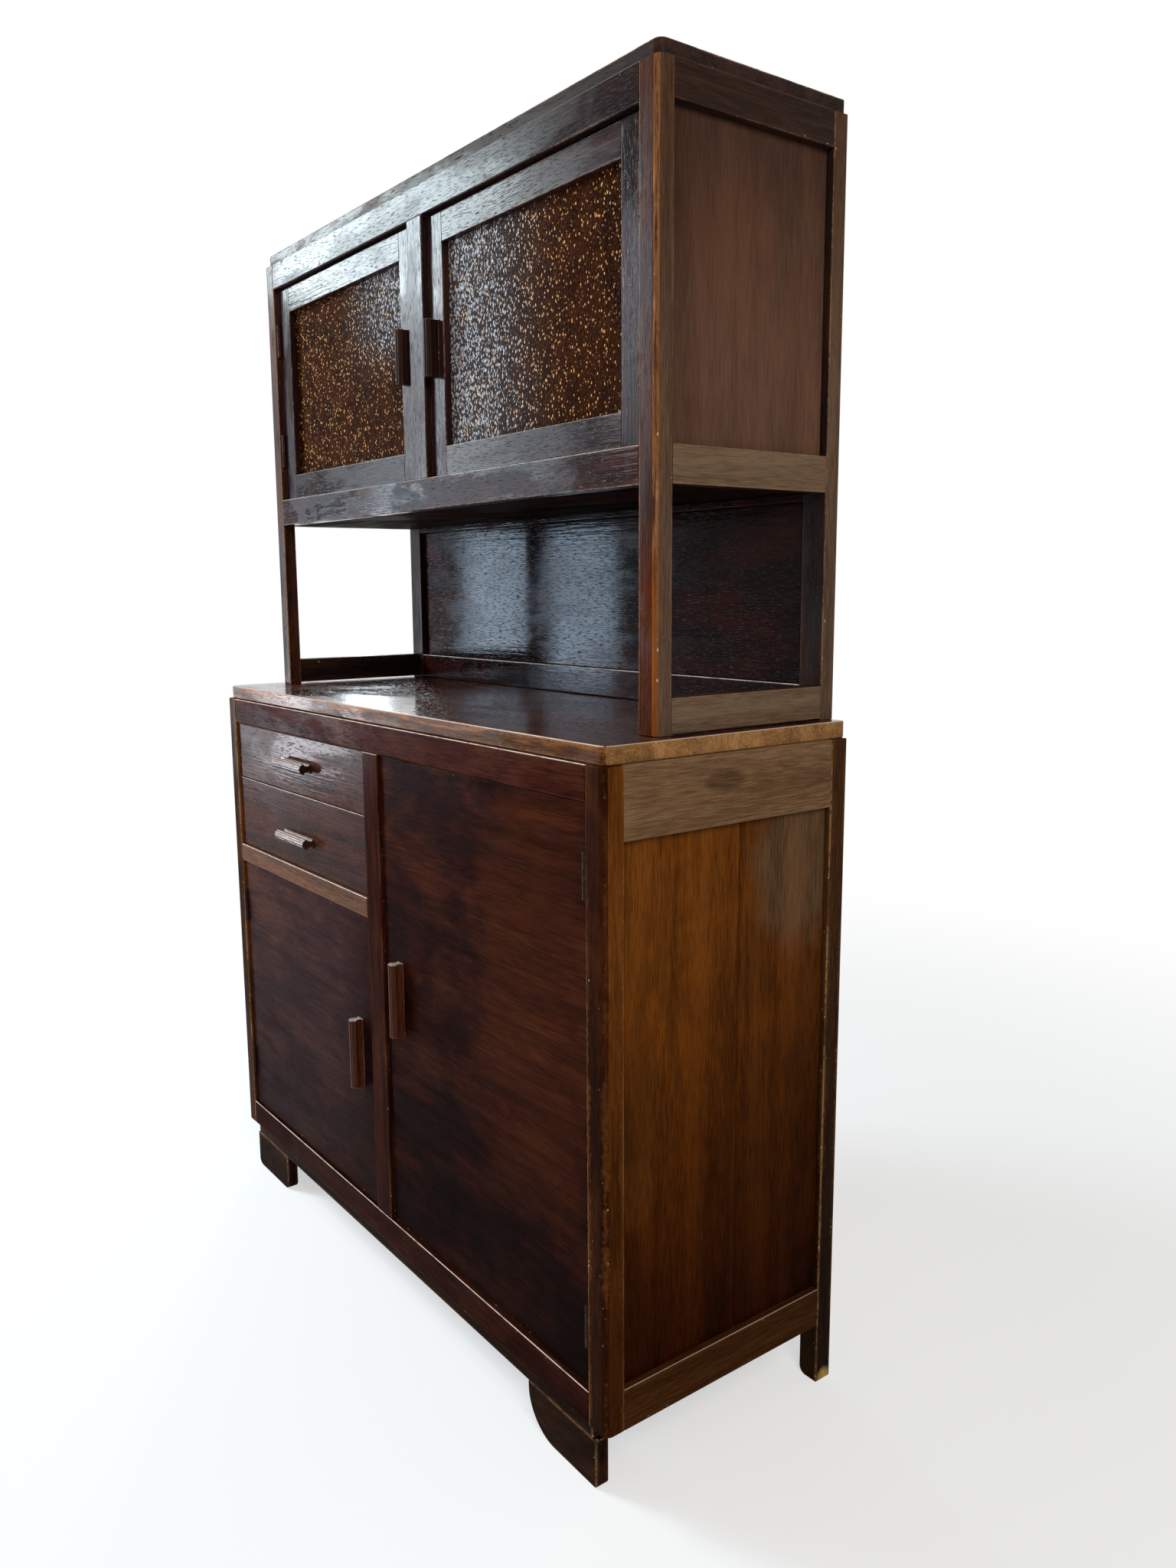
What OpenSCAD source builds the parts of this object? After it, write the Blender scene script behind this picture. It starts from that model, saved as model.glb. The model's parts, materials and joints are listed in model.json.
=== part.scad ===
// Two-part display cabinet: a buffet base with two drawers and two doors, and a hutch on
// top of it with an open niche below and a display section with two glass doors above.
// +X is the cabinet's right as seen from the front, the front faces -Y, +Z is up.
// The origin is on the floor, in the middle of the whole width and depth, handles included.

/* [Base] */
// Width of the base frame
base_w = 1200; // [1000:10:1400]
// Depth of the base frame
base_d = 430; // [400:5:500]
// Height of the underside of the base frame above the floor
frame_z = 93; // [90:1:110]
// Height of the base frame itself
frame_h = 878; // [800:1:950]
// Height of the front rail under the table top
top_rail_h = 47; // [40:1:60]
// Height of the rail under the drawers
drawer_rail_h = 34; // [25:1:45]
// Height of the upper drawer's opening under the front top rail
upper_opening_h = 106; // [90:1:130]
// Height of the lower drawer's opening above the rail under the drawers
lower_opening_h = 135; // [110:1:160]
// Height of the front bottom rail
bottom_rail_h = 48; // [40:1:60]
// Height of the side rails under the table top
side_top_rail_h = 94; // [80:1:110]
// Height of the side bottom rails
side_bottom_rail_h = 59; // [50:1:70]
// Distance of the joint between the two boards of a side panel from the front
side_joint_y = 237; // [200:1:260]

/* [Posts] */
// Width of the base's front posts
front_post_w = 37; // [34:1:45]
// Depth of the base's front posts
front_post_d = 31; // [30:1:40]
// Radius of the rounded outer edges of the posts
post_r = 12; // [6:1:16]
// Width of the base's back posts
back_post_w = 33; // [30:1:40]
// Depth of the base's back posts
back_post_d = 30; // [25:1:40]
// Radius of the rounding at the foot of a back post
back_foot_r = 12; // [6:1:16]
// Width of the post between the lower doors
centre_post_w = 48; // [40:1:60]
// Width of the hutch's front posts
hutch_post_w = 36; // [32:1:45]
// Depth of the hutch's front posts and rails
hutch_post_d = 24; // [22:1:30]
// Width of the hutch's back posts
hutch_back_post_w = 40; // [34:1:45]
// Depth of the hutch's back posts
hutch_back_post_d = 25; // [22:1:30]
// Width of the post between the glass doors
mullion_w = 43; // [36:1:50]

/* [Hutch] */
// Width of the hutch
hutch_w = 1145; // [950:5:1200]
// Distance of the hutch's front from the base's front
hutch_set = 106; // [80:1:130]
// Height of the hutch's posts
hutch_h = 790; // [700:1:850]
// Height of the hutch's top rails
hutch_top_rail_h = 45; // [40:1:60]
// Height of the rails between the niche and the display section
hutch_mid_rail_h = 48; // [40:1:60]
// Height of the niche's opening above the table top
niche_h = 309; // [260:1:340]
// Height of the bottom rails at the niche's back and sides
niche_rail_h = 48; // [36:1:60]
// Distance of the display shelf's upper face from the display floor's underside
shelf_rise = 256; // [200:1:300]

/* [Boards] */
// Thickness of the table top
table_t = 24; // [20:1:30]
// Distance that the table top is set in from the base frame
table_inset = 6; // [3:1:9]
// Thickness of the cap board
cap_t = 20; // [18:1:26]
// Distance that the cap board is set in from the hutch
cap_inset = 6; // [3:1:9]
// Thickness of the base's front rails and centre post
frame_t = 25; // [22:1:28]
// Thickness of the side rails
side_t = 22; // [18:1:26]
// Thickness of the base's side boards
side_panel_t = 10; // [8:1:12]
// Depth that the base's side boards lie behind the frame
side_recess = 10; // [8:1:11]
// Thickness of the hutch's side panels
hutch_panel_t = 8; // [6:1:9]
// Depth that the hutch's side panels lie behind the frame
hutch_recess = 12; // [9:1:12]
// Thickness of the back panels
back_t = 6; // [4:1:8]
// Thickness of the hutch's back rails
back_rail_t = 20; // [16:1:22]
// Depth that the hutch's back panels lie behind the back rails
back_recess = 10; // [6:1:12]
// Distance that the back rail over the niche reaches lower than the front one
back_lip = 10; // [0:1:20]
// Depth of the chamfers that make the V between two side boards
board_chamfer = 3; // [1:0.5:4]
// Thickness of the base's floor board
floor_t = 23; // [18:1:28]
// Distance of the floor board and the feet from the base's front
floor_set = 7; // [5:1:12]
// Distance of the floor board's ends from the base's sides
floor_side_set = 38; // [37:1:60]
// Height of the cleats that join the floor board to the side rails
cleat_h = 18; // [12:1:24]
// Width of the floor board that a cleat covers
cleat_w = 14; // [10:1:20]
// Thickness of shelves and of the display floor
shelf_t = 18; // [15:1:20]
// Thickness of the partition between the lower compartments
partition_t = 18; // [15:1:22]
// Side of the square battens that carry the shelves
batten = 18; // [15:1:22]
// Height of the left shelf's upper face above the base's floor
left_shelf_h = 300; // [200:1:350]
// Height of the right shelf's upper face above the base's floor
right_shelf_h = 440; // [300:1:550]

/* [Feet] */
// Width of the right front foot
right_foot_w = 157; // [120:1:165]
// Width of the left front foot
left_foot_w = 145; // [120:1:165]
// Distance of the feet's outer ends from the base's sides
foot_side_set = 30; // [28:1:60]
// Thickness of a front foot
foot_t = 21; // [18:1:25]
// Radius of the right foot's inner curve
right_foot_r = 62; // [30:1:66]
// Radius of the left foot's inner curve
left_foot_r = 14; // [8:1:30]
// Radius of the right foot's outer lower corner
right_corner_r = 5; // [3:1:16]
// Radius of the left foot's outer lower corner
left_corner_r = 14; // [3:1:16]

/* [Doors and drawers] */
// Depth that the glass doors lie behind the hutch's front
glass_door_recess = 10; // [7:1:12]
// Thickness of the glass doors
glass_door_t = 20; // [18:1:24]
// Width of the glass doors' stiles and rails
stile_w = 43; // [38:1:50]
// Depth from the glass doors' front to the glass
glass_depth = 12; // [9:1:13]
// Width of the rebate that holds the glass
rebate_w = 8; // [6:1:10]
// Thickness of the glass
glass_t = 4; // [3:1:5]
// Depth that the lower doors lie behind the base's front
door_recess = 6; // [5:1:8]
// Thickness of the lower doors
door_t = 20; // [18:1:22]
// Depth that the drawer fronts lie behind the base's front
drawer_recess = 5; // [4:1:8]
// Thickness of the drawer fronts
drawer_front_t = 20; // [18:1:22]
// Length of the drawer boxes behind their fronts
drawer_l = 350; // [300:5:370]
// Thickness of the drawer boxes' sides and backs
drawer_side_t = 12; // [10:1:14]
// Thickness of the drawer bottoms
drawer_bottom_t = 6; // [4:1:8]
// Height of a drawer bottom's underside above the lower edge of its box
drawer_bottom_rise = 6; // [0:1:12]
// Height of a drawer runner
runner_h = 14; // [10:1:16]
// Width that a runner reaches under a drawer side
runner_reach = 14; // [12:1:20]

/* [Handles] */
// Length of the glass doors' handles
glass_handle_l = 84; // [70:1:100]
// Length of the lower doors' handles
door_handle_l = 120; // [100:1:140]
// Length of the drawers' handles
drawer_handle_l = 121; // [100:1:150]
// Distance from a handle's nose to the face that it is fixed to
handle_out = 22; // [20:1:26]
// Radius of the ring on which the reeds of a handle lie
reed_ring_r = 6.5; // [5.5:0.1:8]
// Radius of one reed
reed_r = 3; // [2.5:0.1:3.5]
// Width of the neck between a handle's reeded roll and its base
neck_w = 11; // [8:0.5:13]
// Width of a handle's base
handle_base_w = 17; // [14:0.5:20]
// Thickness of a handle's base
handle_base_t = 2.5; // [2:0.1:3]
// Distance of a lower door's handle from the middle of the post beside it
door_handle_in = 50; // [40:1:70]
// Height of the glass doors' handles above the niche
glass_handle_up = 238; // [180:1:260]
// Distance of the left lower handle's middle below its door's upper edge
left_handle_drop = 244.5; // [200:0.5:280]
// Distance of the right lower handle's middle below its door's upper edge
right_handle_drop = 384.5; // [300:0.5:450]
// Distance that the lower drawer's handle lies below its front's middle
lower_drawer_handle_drop = 14; // [0:1:20]

/* [Hinges] */
// Height of a hinge
hinge_h = 60; // [50:1:80]
// Outer radius of a hinge knuckle
knuckle_r = 3.5; // [3:0.1:3.6]
// Radius of a hinge pin
pin_r = 1.5; // [1.2:0.1:1.8]
// Width of a hinge leaf behind a door's front face
leaf_w = 16; // [12:1:17]
// Thickness of a hinge leaf
leaf_t = 1.1; // [0.8:0.1:1.1]
// Distance of a hinge's middle from the upper or lower edge of its door
hinge_inset = 90; // [60:1:120]

/* [Clearances] */
// Gap between a door and the post that carries its hinges
hinge_gap = 2.5; // [2.4:0.1:3]
// Gap at the free edge and the bottom of a door, and round a drawer front
edge_gap = 1.5; // [1:0.1:2]
// Gap above a glass door
glass_top_gap = 3.5; // [2:0.1:4]
// Radial clearance of a hinge pin in its knuckle
pin_gap = 0.05; // [0.02:0.01:0.1]
// Distance that a hinge pin ends below the top of its knuckle
pin_end_gap = 1; // [0.5:0.1:2]
// Gap between a knuckle and the wood beside it
knuckle_gap = 0.3; // [0.2:0.05:0.4]
// Gap between the glass and the rebate's edge
glass_gap = 0.5; // [0.3:0.1:1]
// Gap between a drawer box and the posts beside it
drawer_gap = 3; // [2:0.5:5]
// Gap between a drawer box and what lies over it
drawer_top_gap = 5; // [3:0.5:8]
// Gap between a glass door and the edge of the display shelf
shelf_door_gap = 10; // [5:1:20]
// Gap in the V joint between two side boards
board_gap = 0.2; // [0.1:0.05:0.5]
// Gap under the hutch's side bottom rails
side_rail_gap = 2.5; // [1:0.5:4]

/* [Hidden] */
$fn = 48;

// How far a cut reaches past the face that it opens
cut_over = 1;

// Planes of the base
half_w = base_w / 2;
handle_over = handle_out - drawer_recess;
front_y = (handle_over - base_d) / 2;
back_y = front_y + base_d;
frame_top = frame_z + frame_h;
table_z = frame_top + table_t;
foot_h = frame_z - floor_t;
bottom_rail_top = frame_z + bottom_rail_h;
top_rail_z = frame_top - top_rail_h;
drawer_split_z = top_rail_z - upper_opening_h;
drawer_rail_z = drawer_split_z - lower_opening_h;
left_shelf_z = frame_z + left_shelf_h;
right_shelf_z = frame_z + right_shelf_h;
shelf_front_y = front_y + front_post_d + batten;
post_in = half_w - front_post_w;
centre_in = centre_post_w / 2;
back_post_y = back_y - back_post_d;
side_y0 = front_y + front_post_d;
side_l = back_post_y - side_y0;
board_in = half_w - side_recess - side_panel_t;
partition_in = partition_t / 2;
floor_half = half_w - floor_side_set;
foot_half = half_w - foot_side_set;
foot_y = front_y + floor_set;

// Planes of the hutch
hutch_half = hutch_w / 2;
hutch_y = front_y + hutch_set;
hutch_top = table_z + hutch_h;
hutch_in = hutch_half - hutch_post_w;
hutch_back_in = hutch_half - hutch_back_post_w;
mullion_in = mullion_w / 2;
hutch_inner_y = hutch_y + hutch_post_d;
hutch_back_y = back_y - hutch_back_post_d;
mid_z = table_z + niche_h;
mid_top = mid_z + hutch_mid_rail_h;
top_z = hutch_top - hutch_top_rail_h;
niche_rail_top = table_z + niche_rail_h;
side_rail_in = hutch_half - side_t;
hutch_panel_in = hutch_half - hutch_recess - hutch_panel_t;
back_panel_y = hutch_back_y + back_recess;
shelf_z = mid_z + shelf_rise - shelf_t;
shelf_y = hutch_y + glass_door_recess + glass_door_t + shelf_door_gap;

// Hinge axes and door edges, measured outwards from the middle
axis_off = knuckle_r + knuckle_gap;
glass_axis_x = hutch_in - axis_off;
glass_door_y = hutch_y + glass_door_recess;
glass_axis_y = glass_door_y - axis_off;
door_axis_x = post_in - axis_off;
door_y = front_y + door_recess;
door_axis_y = door_y - axis_off;
glass_out = hutch_in - hinge_gap;
glass_free = mullion_in + edge_gap;
door_out = post_in - hinge_gap;
door_free = centre_in + edge_gap;
glass_z0 = mid_top + edge_gap;
glass_z1 = top_z - glass_top_gap;
door_z0 = bottom_rail_top + edge_gap;
left_door_z1 = drawer_rail_z - drawer_rail_h - edge_gap;
right_door_z1 = top_rail_z - edge_gap;

// Drawers
drawer_y = front_y + drawer_recess;
drawer_back = drawer_y + drawer_front_t;
lower_front_z0 = drawer_rail_z + edge_gap;
lower_front_z1 = drawer_split_z - edge_gap / 2;
upper_front_z0 = drawer_split_z + edge_gap / 2;
upper_front_z1 = top_rail_z - edge_gap;
upper_box_h = upper_front_z1 - upper_front_z0 - runner_h - drawer_top_gap;
lower_box_h = lower_front_z1 - lower_front_z0 - runner_h - drawer_top_gap;
box_x0 = -post_in + drawer_gap;
box_x1 = -centre_in - drawer_gap;
drawer_mid_x = -(post_in + centre_in) / 2;

// Handles
handle_core_y = handle_out - reed_ring_r - reed_r;
glass_handle_z = mid_z + glass_handle_up;
glass_handle_x = glass_free + stile_w / 2;
door_handle_x = centre_in + door_handle_in;
left_handle_z = left_door_z1 - left_handle_drop;
right_handle_z = right_door_z1 - right_handle_drop;

// Colours
front_brown = [0.24, 0.13, 0.11];
edge_brown = [0.47, 0.25, 0.13];
side_brown = [0.45, 0.28, 0.17];
hutch_side_brown = [0.38, 0.29, 0.23];
dark_brown = [0.17, 0.10, 0.09];
inner_wood = [0.62, 0.47, 0.32];
rail_tan = [0.56, 0.37, 0.23];

// A box between two corners
module block(x0, y0, z0, x1, y1, z1) {
    translate([x0, y0, z0]) cube([x1 - x0, y1 - y0, z1 - z0]);
}

// Draws its children as they are and mirrored to the other side
module both_sides() {
    children();
    mirror([1, 0, 0]) children();
}

// Rectangle from the origin with rounded corners at its lower left and lower right
module rounded_rect(w, h, left_r, right_r) {
    difference() {
        square([w, h]);
        if (left_r > 0) corner_waste(left_r);
        if (right_r > 0) translate([w, 0]) mirror([1, 0]) corner_waste(right_r);
    }
}

// What a corner of radius r at the origin loses
module corner_waste(r) {
    difference() {
        translate([-cut_over, -cut_over]) square([r + cut_over, r + cut_over]);
        translate([r, r]) circle(r);
    }
}

// Right front post, rounded at its outer front edge
module right_post(x0, y0, z0, w, d, h) {
    translate([x0, y0, z0]) linear_extrude(h) rounded_rect(w, d, 0, post_r);
}

// Section of a handle, fixed face on the X axis and nose towards -Y
module handle_section() {
    reed_step = 36;
    translate([0, -handle_core_y]) circle(reed_ring_r);
    for (i = [-2 : 2]) {
        translate([0, -handle_core_y]) rotate(i * reed_step) translate([0, -reed_ring_r]) circle(reed_r);
    }
    translate([-neck_w / 2, -handle_core_y]) square([neck_w, handle_core_y]);
    translate([-handle_base_w / 2, -handle_base_t]) square([handle_base_w, handle_base_t]);
}

// Handle that stands upright, with its middle at x, y, z
module upright_handle(x, y, z, l) {
    translate([x, y, z - l / 2]) linear_extrude(l) handle_section();
}

// Handle that lies level, with its middle at x, y, z
module level_handle(x, y, z, l) {
    translate([x - l / 2, y, z]) rotate([0, 90, 0]) linear_extrude(l) handle_section();
}

// Fixed half of a hinge on the left: lower knuckle, leaf and the pin, with its axis on Z
module fixed_half() {
    leaf_x = -axis_off;
    leaf_y1 = axis_off + leaf_w;
    translate([0, 0, -hinge_h / 2]) cylinder(r = knuckle_r, h = hinge_h / 2);
    translate([0, 0, -hinge_h / 2]) cylinder(r = pin_r, h = hinge_h - pin_end_gap);
    block(leaf_x, 0, -hinge_h / 2, leaf_x + leaf_t, leaf_y1, 0);
    block(leaf_x, axis_off, -hinge_h / 2, leaf_x + leaf_t, leaf_y1, hinge_h / 2);
}

// Moving half of a hinge on the left: upper knuckle with its bore, and the leaf
module moving_half() {
    leaf_x = -axis_off + hinge_gap - leaf_t;
    leaf_y1 = axis_off + leaf_w;
    difference() {
        union() {
            cylinder(r = knuckle_r, h = hinge_h / 2);
            block(leaf_x, 0, 0, leaf_x + leaf_t, leaf_y1, hinge_h / 2);
        }
        translate([0, 0, -cut_over])
            cylinder(r = pin_r + pin_gap, h = cut_over + hinge_h / 2 - pin_end_gap);
    }
    block(leaf_x, axis_off, -hinge_h / 2, leaf_x + leaf_t, leaf_y1, hinge_h / 2);
}

// Draws its children at both hinge places of a left door between heights z0 and z1
module hinge_places(axis_x, axis_y, z0, z1) {
    for (z = [z0 + hinge_inset, z1 - hinge_inset]) {
        translate([-axis_x, axis_y, z]) children();
    }
}

// Base

module base_front_posts() {
    color(edge_brown) both_sides()
        right_post(post_in, front_y, frame_z, front_post_w, front_post_d, frame_h);
}

module base_centre_post() {
    color(front_brown)
        block(-centre_in, front_y, bottom_rail_top, centre_in, front_y + frame_t, top_rail_z);
}

module base_back_posts() {
    foot_turn = [90, 0, 0];
    color(edge_brown) both_sides()
        translate([half_w - back_post_w, back_y, 0]) rotate(foot_turn)
            linear_extrude(back_post_d) rounded_rect(back_post_w, frame_top, back_foot_r, 0);
}

module base_top_rail() {
    color(front_brown)
        block(-post_in, front_y, top_rail_z, post_in, front_y + frame_t, frame_top);
}

module base_drawer_rail() {
    color(rail_tan)
        block(-post_in, front_y, drawer_rail_z - drawer_rail_h, -centre_in, front_y + frame_t, drawer_rail_z);
}

module base_bottom_rail() {
    color(front_brown)
        block(-post_in, front_y, frame_z, post_in, front_y + frame_t, bottom_rail_top);
}

module base_side_rails() {
    color(side_brown) both_sides() {
        block(half_w - side_t, side_y0, frame_top - side_top_rail_h, half_w, back_post_y, frame_top);
        block(half_w - side_t, side_y0, frame_z, half_w, back_post_y, frame_z + side_bottom_rail_h);
    }
}

// One side board: its joint edge is chamfered, so that two of them meet in a V
module side_board(l) {
    flat_l = l - board_chamfer;
    flat_t = side_panel_t - board_chamfer;
    linear_extrude(frame_h - side_top_rail_h - side_bottom_rail_h)
        polygon([[0, 0], [side_panel_t, 0], [side_panel_t, flat_l], [flat_t, l], [0, l]]);
}

module base_side_boards() {
    front_l = side_joint_y - front_post_d;
    board_z = frame_z + side_bottom_rail_h;
    color(side_brown) both_sides() {
        translate([board_in, side_y0, board_z]) side_board(front_l);
        translate([board_in, back_post_y, board_z]) mirror([0, 1, 0]) side_board(side_l - front_l - board_gap);
    }
}

module base_back_panel() {
    panel_half = half_w - back_post_w;
    color(inner_wood)
        block(-panel_half, back_y - back_t, frame_z, panel_half, back_y, frame_top);
}

module base_floor() {
    color(dark_brown)
        block(-floor_half, foot_y, foot_h, floor_half, back_y, frame_z);
}

// Cleats in the lower corners: each covers the slit between the floor board and a side rail
module base_floor_cleats() {
    cleat_in = floor_half - cleat_w;
    side_in = half_w - side_t;
    back_in = half_w - back_post_w;
    front_end = front_y + frame_t;
    back_end = back_y - back_t;
    color(inner_wood) both_sides() translate([0, 0, frame_z]) linear_extrude(cleat_h)
        polygon([[cleat_in, front_end], [post_in, front_end], [post_in, side_y0], [side_in, side_y0],
            [side_in, back_post_y], [back_in, back_post_y], [back_in, back_end], [cleat_in, back_end]]);
}

// Right front foot or its left counterpart, as seen from the front, curve at its inner end
module foot_board(w, curve_r, corner_r) {
    rotate([90, 0, 0]) linear_extrude(foot_t) rounded_rect(w, foot_h, min(curve_r, foot_h), corner_r);
}

module base_front_feet() {
    color(front_brown) {
        translate([foot_half - right_foot_w, foot_y + foot_t, 0])
            foot_board(right_foot_w, right_foot_r, right_corner_r);
        mirror([1, 0, 0]) translate([foot_half - left_foot_w, foot_y + foot_t, 0])
            foot_board(left_foot_w, left_foot_r, left_corner_r);
    }
}

module base_partition() {
    color(inner_wood)
        block(-partition_in, front_y + frame_t, frame_z, partition_in, back_y - back_t, frame_top);
}

module base_shelves() {
    color(inner_wood) {
        block(-board_in, shelf_front_y, left_shelf_z - shelf_t, -partition_in, back_post_y, left_shelf_z);
        block(partition_in, shelf_front_y, right_shelf_z - shelf_t, board_in, back_post_y, right_shelf_z);
    }
}

// The two battens under a shelf on the right, with the shelf's underside at z
module shelf_battens(z) {
    block(partition_in, shelf_front_y, z - batten, partition_in + batten, back_post_y, z);
    block(board_in - batten, side_y0, z - batten, board_in, back_post_y, z);
}

module base_shelf_battens() {
    color(inner_wood) {
        mirror([1, 0, 0]) shelf_battens(left_shelf_z - shelf_t);
        shelf_battens(right_shelf_z - shelf_t);
    }
}

module drawer_runners() {
    color(inner_wood) for (z = [lower_front_z0, upper_front_z0]) {
        block(-board_in, side_y0, z - runner_h, box_x0 + runner_reach, back_post_y, z);
        block(box_x1 - runner_reach, front_y + frame_t, z - runner_h, -partition_in, back_post_y, z);
    }
}

module base_hinge_leaves() {
    color("darkgoldenrod") {
        hinge_places(door_axis_x, door_axis_y, door_z0, left_door_z1) fixed_half();
        mirror([1, 0, 0]) hinge_places(door_axis_x, door_axis_y, door_z0, right_door_z1) fixed_half();
    }
}

module table_top() {
    table_half = half_w - table_inset;
    color(edge_brown) translate([-table_half, front_y + table_inset, frame_top])
        linear_extrude(table_t) rounded_rect(2 * table_half, base_d - table_inset, post_r, post_r);
}

// Hutch

module hutch_front_posts() {
    color(edge_brown) both_sides()
        right_post(hutch_in, hutch_y, table_z, hutch_post_w, hutch_post_d, hutch_h);
}

module hutch_back_posts() {
    color(hutch_side_brown) both_sides()
        block(hutch_back_in, hutch_back_y, table_z, hutch_half, back_y, hutch_top);
}

module hutch_mullion() {
    color(front_brown)
        block(-mullion_in, hutch_y, mid_top, mullion_in, hutch_inner_y, top_z);
}

module hutch_top_rail() {
    color(front_brown)
        block(-hutch_in, hutch_y, top_z, hutch_in, hutch_inner_y, hutch_top);
}

module hutch_mid_rail() {
    color(front_brown)
        block(-hutch_in, hutch_y, mid_z, hutch_in, hutch_inner_y, mid_top);
}

module hutch_side_rails() {
    color(hutch_side_brown) both_sides()
        for (span = [[table_z + side_rail_gap, niche_rail_top], [mid_z, mid_top], [top_z, hutch_top]]) {
            block(side_rail_in, hutch_inner_y, span[0], hutch_half, hutch_back_y, span[1]);
        }
}

module hutch_side_panels() {
    color(hutch_side_brown) both_sides()
        block(hutch_panel_in, hutch_inner_y, mid_top, hutch_panel_in + hutch_panel_t, hutch_back_y, top_z);
}

module hutch_back_rails() {
    color(dark_brown)
        for (span = [[table_z, niche_rail_top], [mid_z - back_lip, mid_top], [top_z, hutch_top]]) {
            block(-hutch_back_in, hutch_back_y, span[0], hutch_back_in, hutch_back_y + back_rail_t, span[1]);
        }
}

module display_floor() {
    color(dark_brown)
        block(-side_rail_in, hutch_inner_y, mid_z, side_rail_in, hutch_back_y, mid_z + shelf_t);
}

module display_shelf() {
    color(inner_wood)
        block(-hutch_panel_in, shelf_y, shelf_z, hutch_panel_in, hutch_back_y, shelf_z + shelf_t);
}

module display_shelf_battens() {
    color(inner_wood) both_sides()
        block(hutch_panel_in - batten, shelf_y, shelf_z - batten, hutch_panel_in, hutch_back_y, shelf_z);
}

module display_back_panel() {
    color(inner_wood)
        block(-hutch_back_in, back_panel_y, mid_top, hutch_back_in, back_panel_y + back_t, top_z);
}

module niche_back_panel() {
    color(dark_brown)
        block(-hutch_back_in, back_panel_y, niche_rail_top,
            hutch_back_in, back_panel_y + back_t, mid_z - back_lip);
}

module hutch_hinge_leaves() {
    color("darkgoldenrod") both_sides()
        hinge_places(glass_axis_x, glass_axis_y, glass_z0, glass_z1) fixed_half();
}

module cap_board() {
    cap_half = hutch_half - cap_inset;
    cap_y = hutch_y + cap_inset;
    color(edge_brown) translate([-cap_half, cap_y, hutch_top])
        linear_extrude(cap_t) rounded_rect(2 * cap_half, back_y - cap_y, post_r, post_r);
}

// Glass doors, drawn for the left door; the right one is its mirror image

glass_y = glass_door_y + glass_depth;
glass_door_back = glass_door_y + glass_door_t;

// What the rebate round the opening takes from the door frame
module rebate() {
    block(-glass_out + stile_w - rebate_w, glass_y, glass_z0 + stile_w - rebate_w,
        -glass_free - stile_w + rebate_w, glass_door_back + cut_over, glass_z1 - stile_w + rebate_w);
}

module glass_stiles() {
    difference() {
        union() {
            block(-glass_out, glass_door_y, glass_z0, -glass_out + stile_w, glass_door_back, glass_z1);
            block(-glass_free - stile_w, glass_door_y, glass_z0, -glass_free, glass_door_back, glass_z1);
        }
        rebate();
    }
}

module glass_rails() {
    difference() {
        for (z = [glass_z0, glass_z1 - stile_w]) {
            block(-glass_out + stile_w, glass_door_y, z, -glass_free - stile_w, glass_door_back, z + stile_w);
        }
        rebate();
    }
}

module glass_pane() {
    edge = stile_w - rebate_w + glass_gap;
    block(-glass_out + edge, glass_y, glass_z0 + edge, -glass_free - edge, glass_y + glass_t, glass_z1 - edge);
}

module glass_beads() {
    edge = stile_w - rebate_w;
    bead_y = glass_y + glass_t;
    for (x = [-glass_out + edge, -glass_free - stile_w]) {
        block(x, bead_y, glass_z0 + edge, x + rebate_w, glass_door_back, glass_z1 - edge);
    }
    for (z = [glass_z0 + edge, glass_z1 - stile_w]) {
        block(-glass_out + stile_w, bead_y, z, -glass_free - stile_w, glass_door_back, z + rebate_w);
    }
}

module glass_handle() {
    upright_handle(-glass_handle_x, glass_door_y, glass_handle_z, glass_handle_l);
}

module glass_hinges() {
    hinge_places(glass_axis_x, glass_axis_y, glass_z0, glass_z1) moving_half();
}

module left_glass_stiles() color(front_brown) glass_stiles();
module left_glass_rails() color(front_brown) glass_rails();
module left_glass_pane() color([0.66, 0.45, 0.25, 0.6]) glass_pane();
module left_glass_beads() color(dark_brown) glass_beads();
module left_glass_handle() color(edge_brown) glass_handle();
module left_glass_hinges() color("darkgoldenrod") glass_hinges();
module right_glass_stiles() color(front_brown) mirror([1, 0, 0]) glass_stiles();
module right_glass_rails() color(front_brown) mirror([1, 0, 0]) glass_rails();
module right_glass_pane() color([0.66, 0.45, 0.25, 0.6]) mirror([1, 0, 0]) glass_pane();
module right_glass_beads() color(dark_brown) mirror([1, 0, 0]) glass_beads();
module right_glass_handle() color(edge_brown) mirror([1, 0, 0]) glass_handle();
module right_glass_hinges() color("darkgoldenrod") mirror([1, 0, 0]) glass_hinges();

// Lower doors

module left_door_panel() {
    color(front_brown)
        block(-door_out, door_y, door_z0, -door_free, door_y + door_t, left_door_z1);
}

module left_door_handle() {
    color(edge_brown) upright_handle(-door_handle_x, door_y, left_handle_z, door_handle_l);
}

module left_door_hinges() {
    color("darkgoldenrod") hinge_places(door_axis_x, door_axis_y, door_z0, left_door_z1) moving_half();
}

module right_door_panel() {
    color(front_brown)
        block(door_free, door_y, door_z0, door_out, door_y + door_t, right_door_z1);
}

module right_door_handle() {
    color(edge_brown) upright_handle(door_handle_x, door_y, right_handle_z, door_handle_l);
}

module right_door_hinges() {
    color("darkgoldenrod") mirror([1, 0, 0])
        hinge_places(door_axis_x, door_axis_y, door_z0, right_door_z1) moving_half();
}

// Drawers

module drawer_front(z0, z1) {
    block(-post_in + edge_gap, drawer_y, z0, -centre_in - edge_gap, drawer_back, z1);
}

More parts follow.
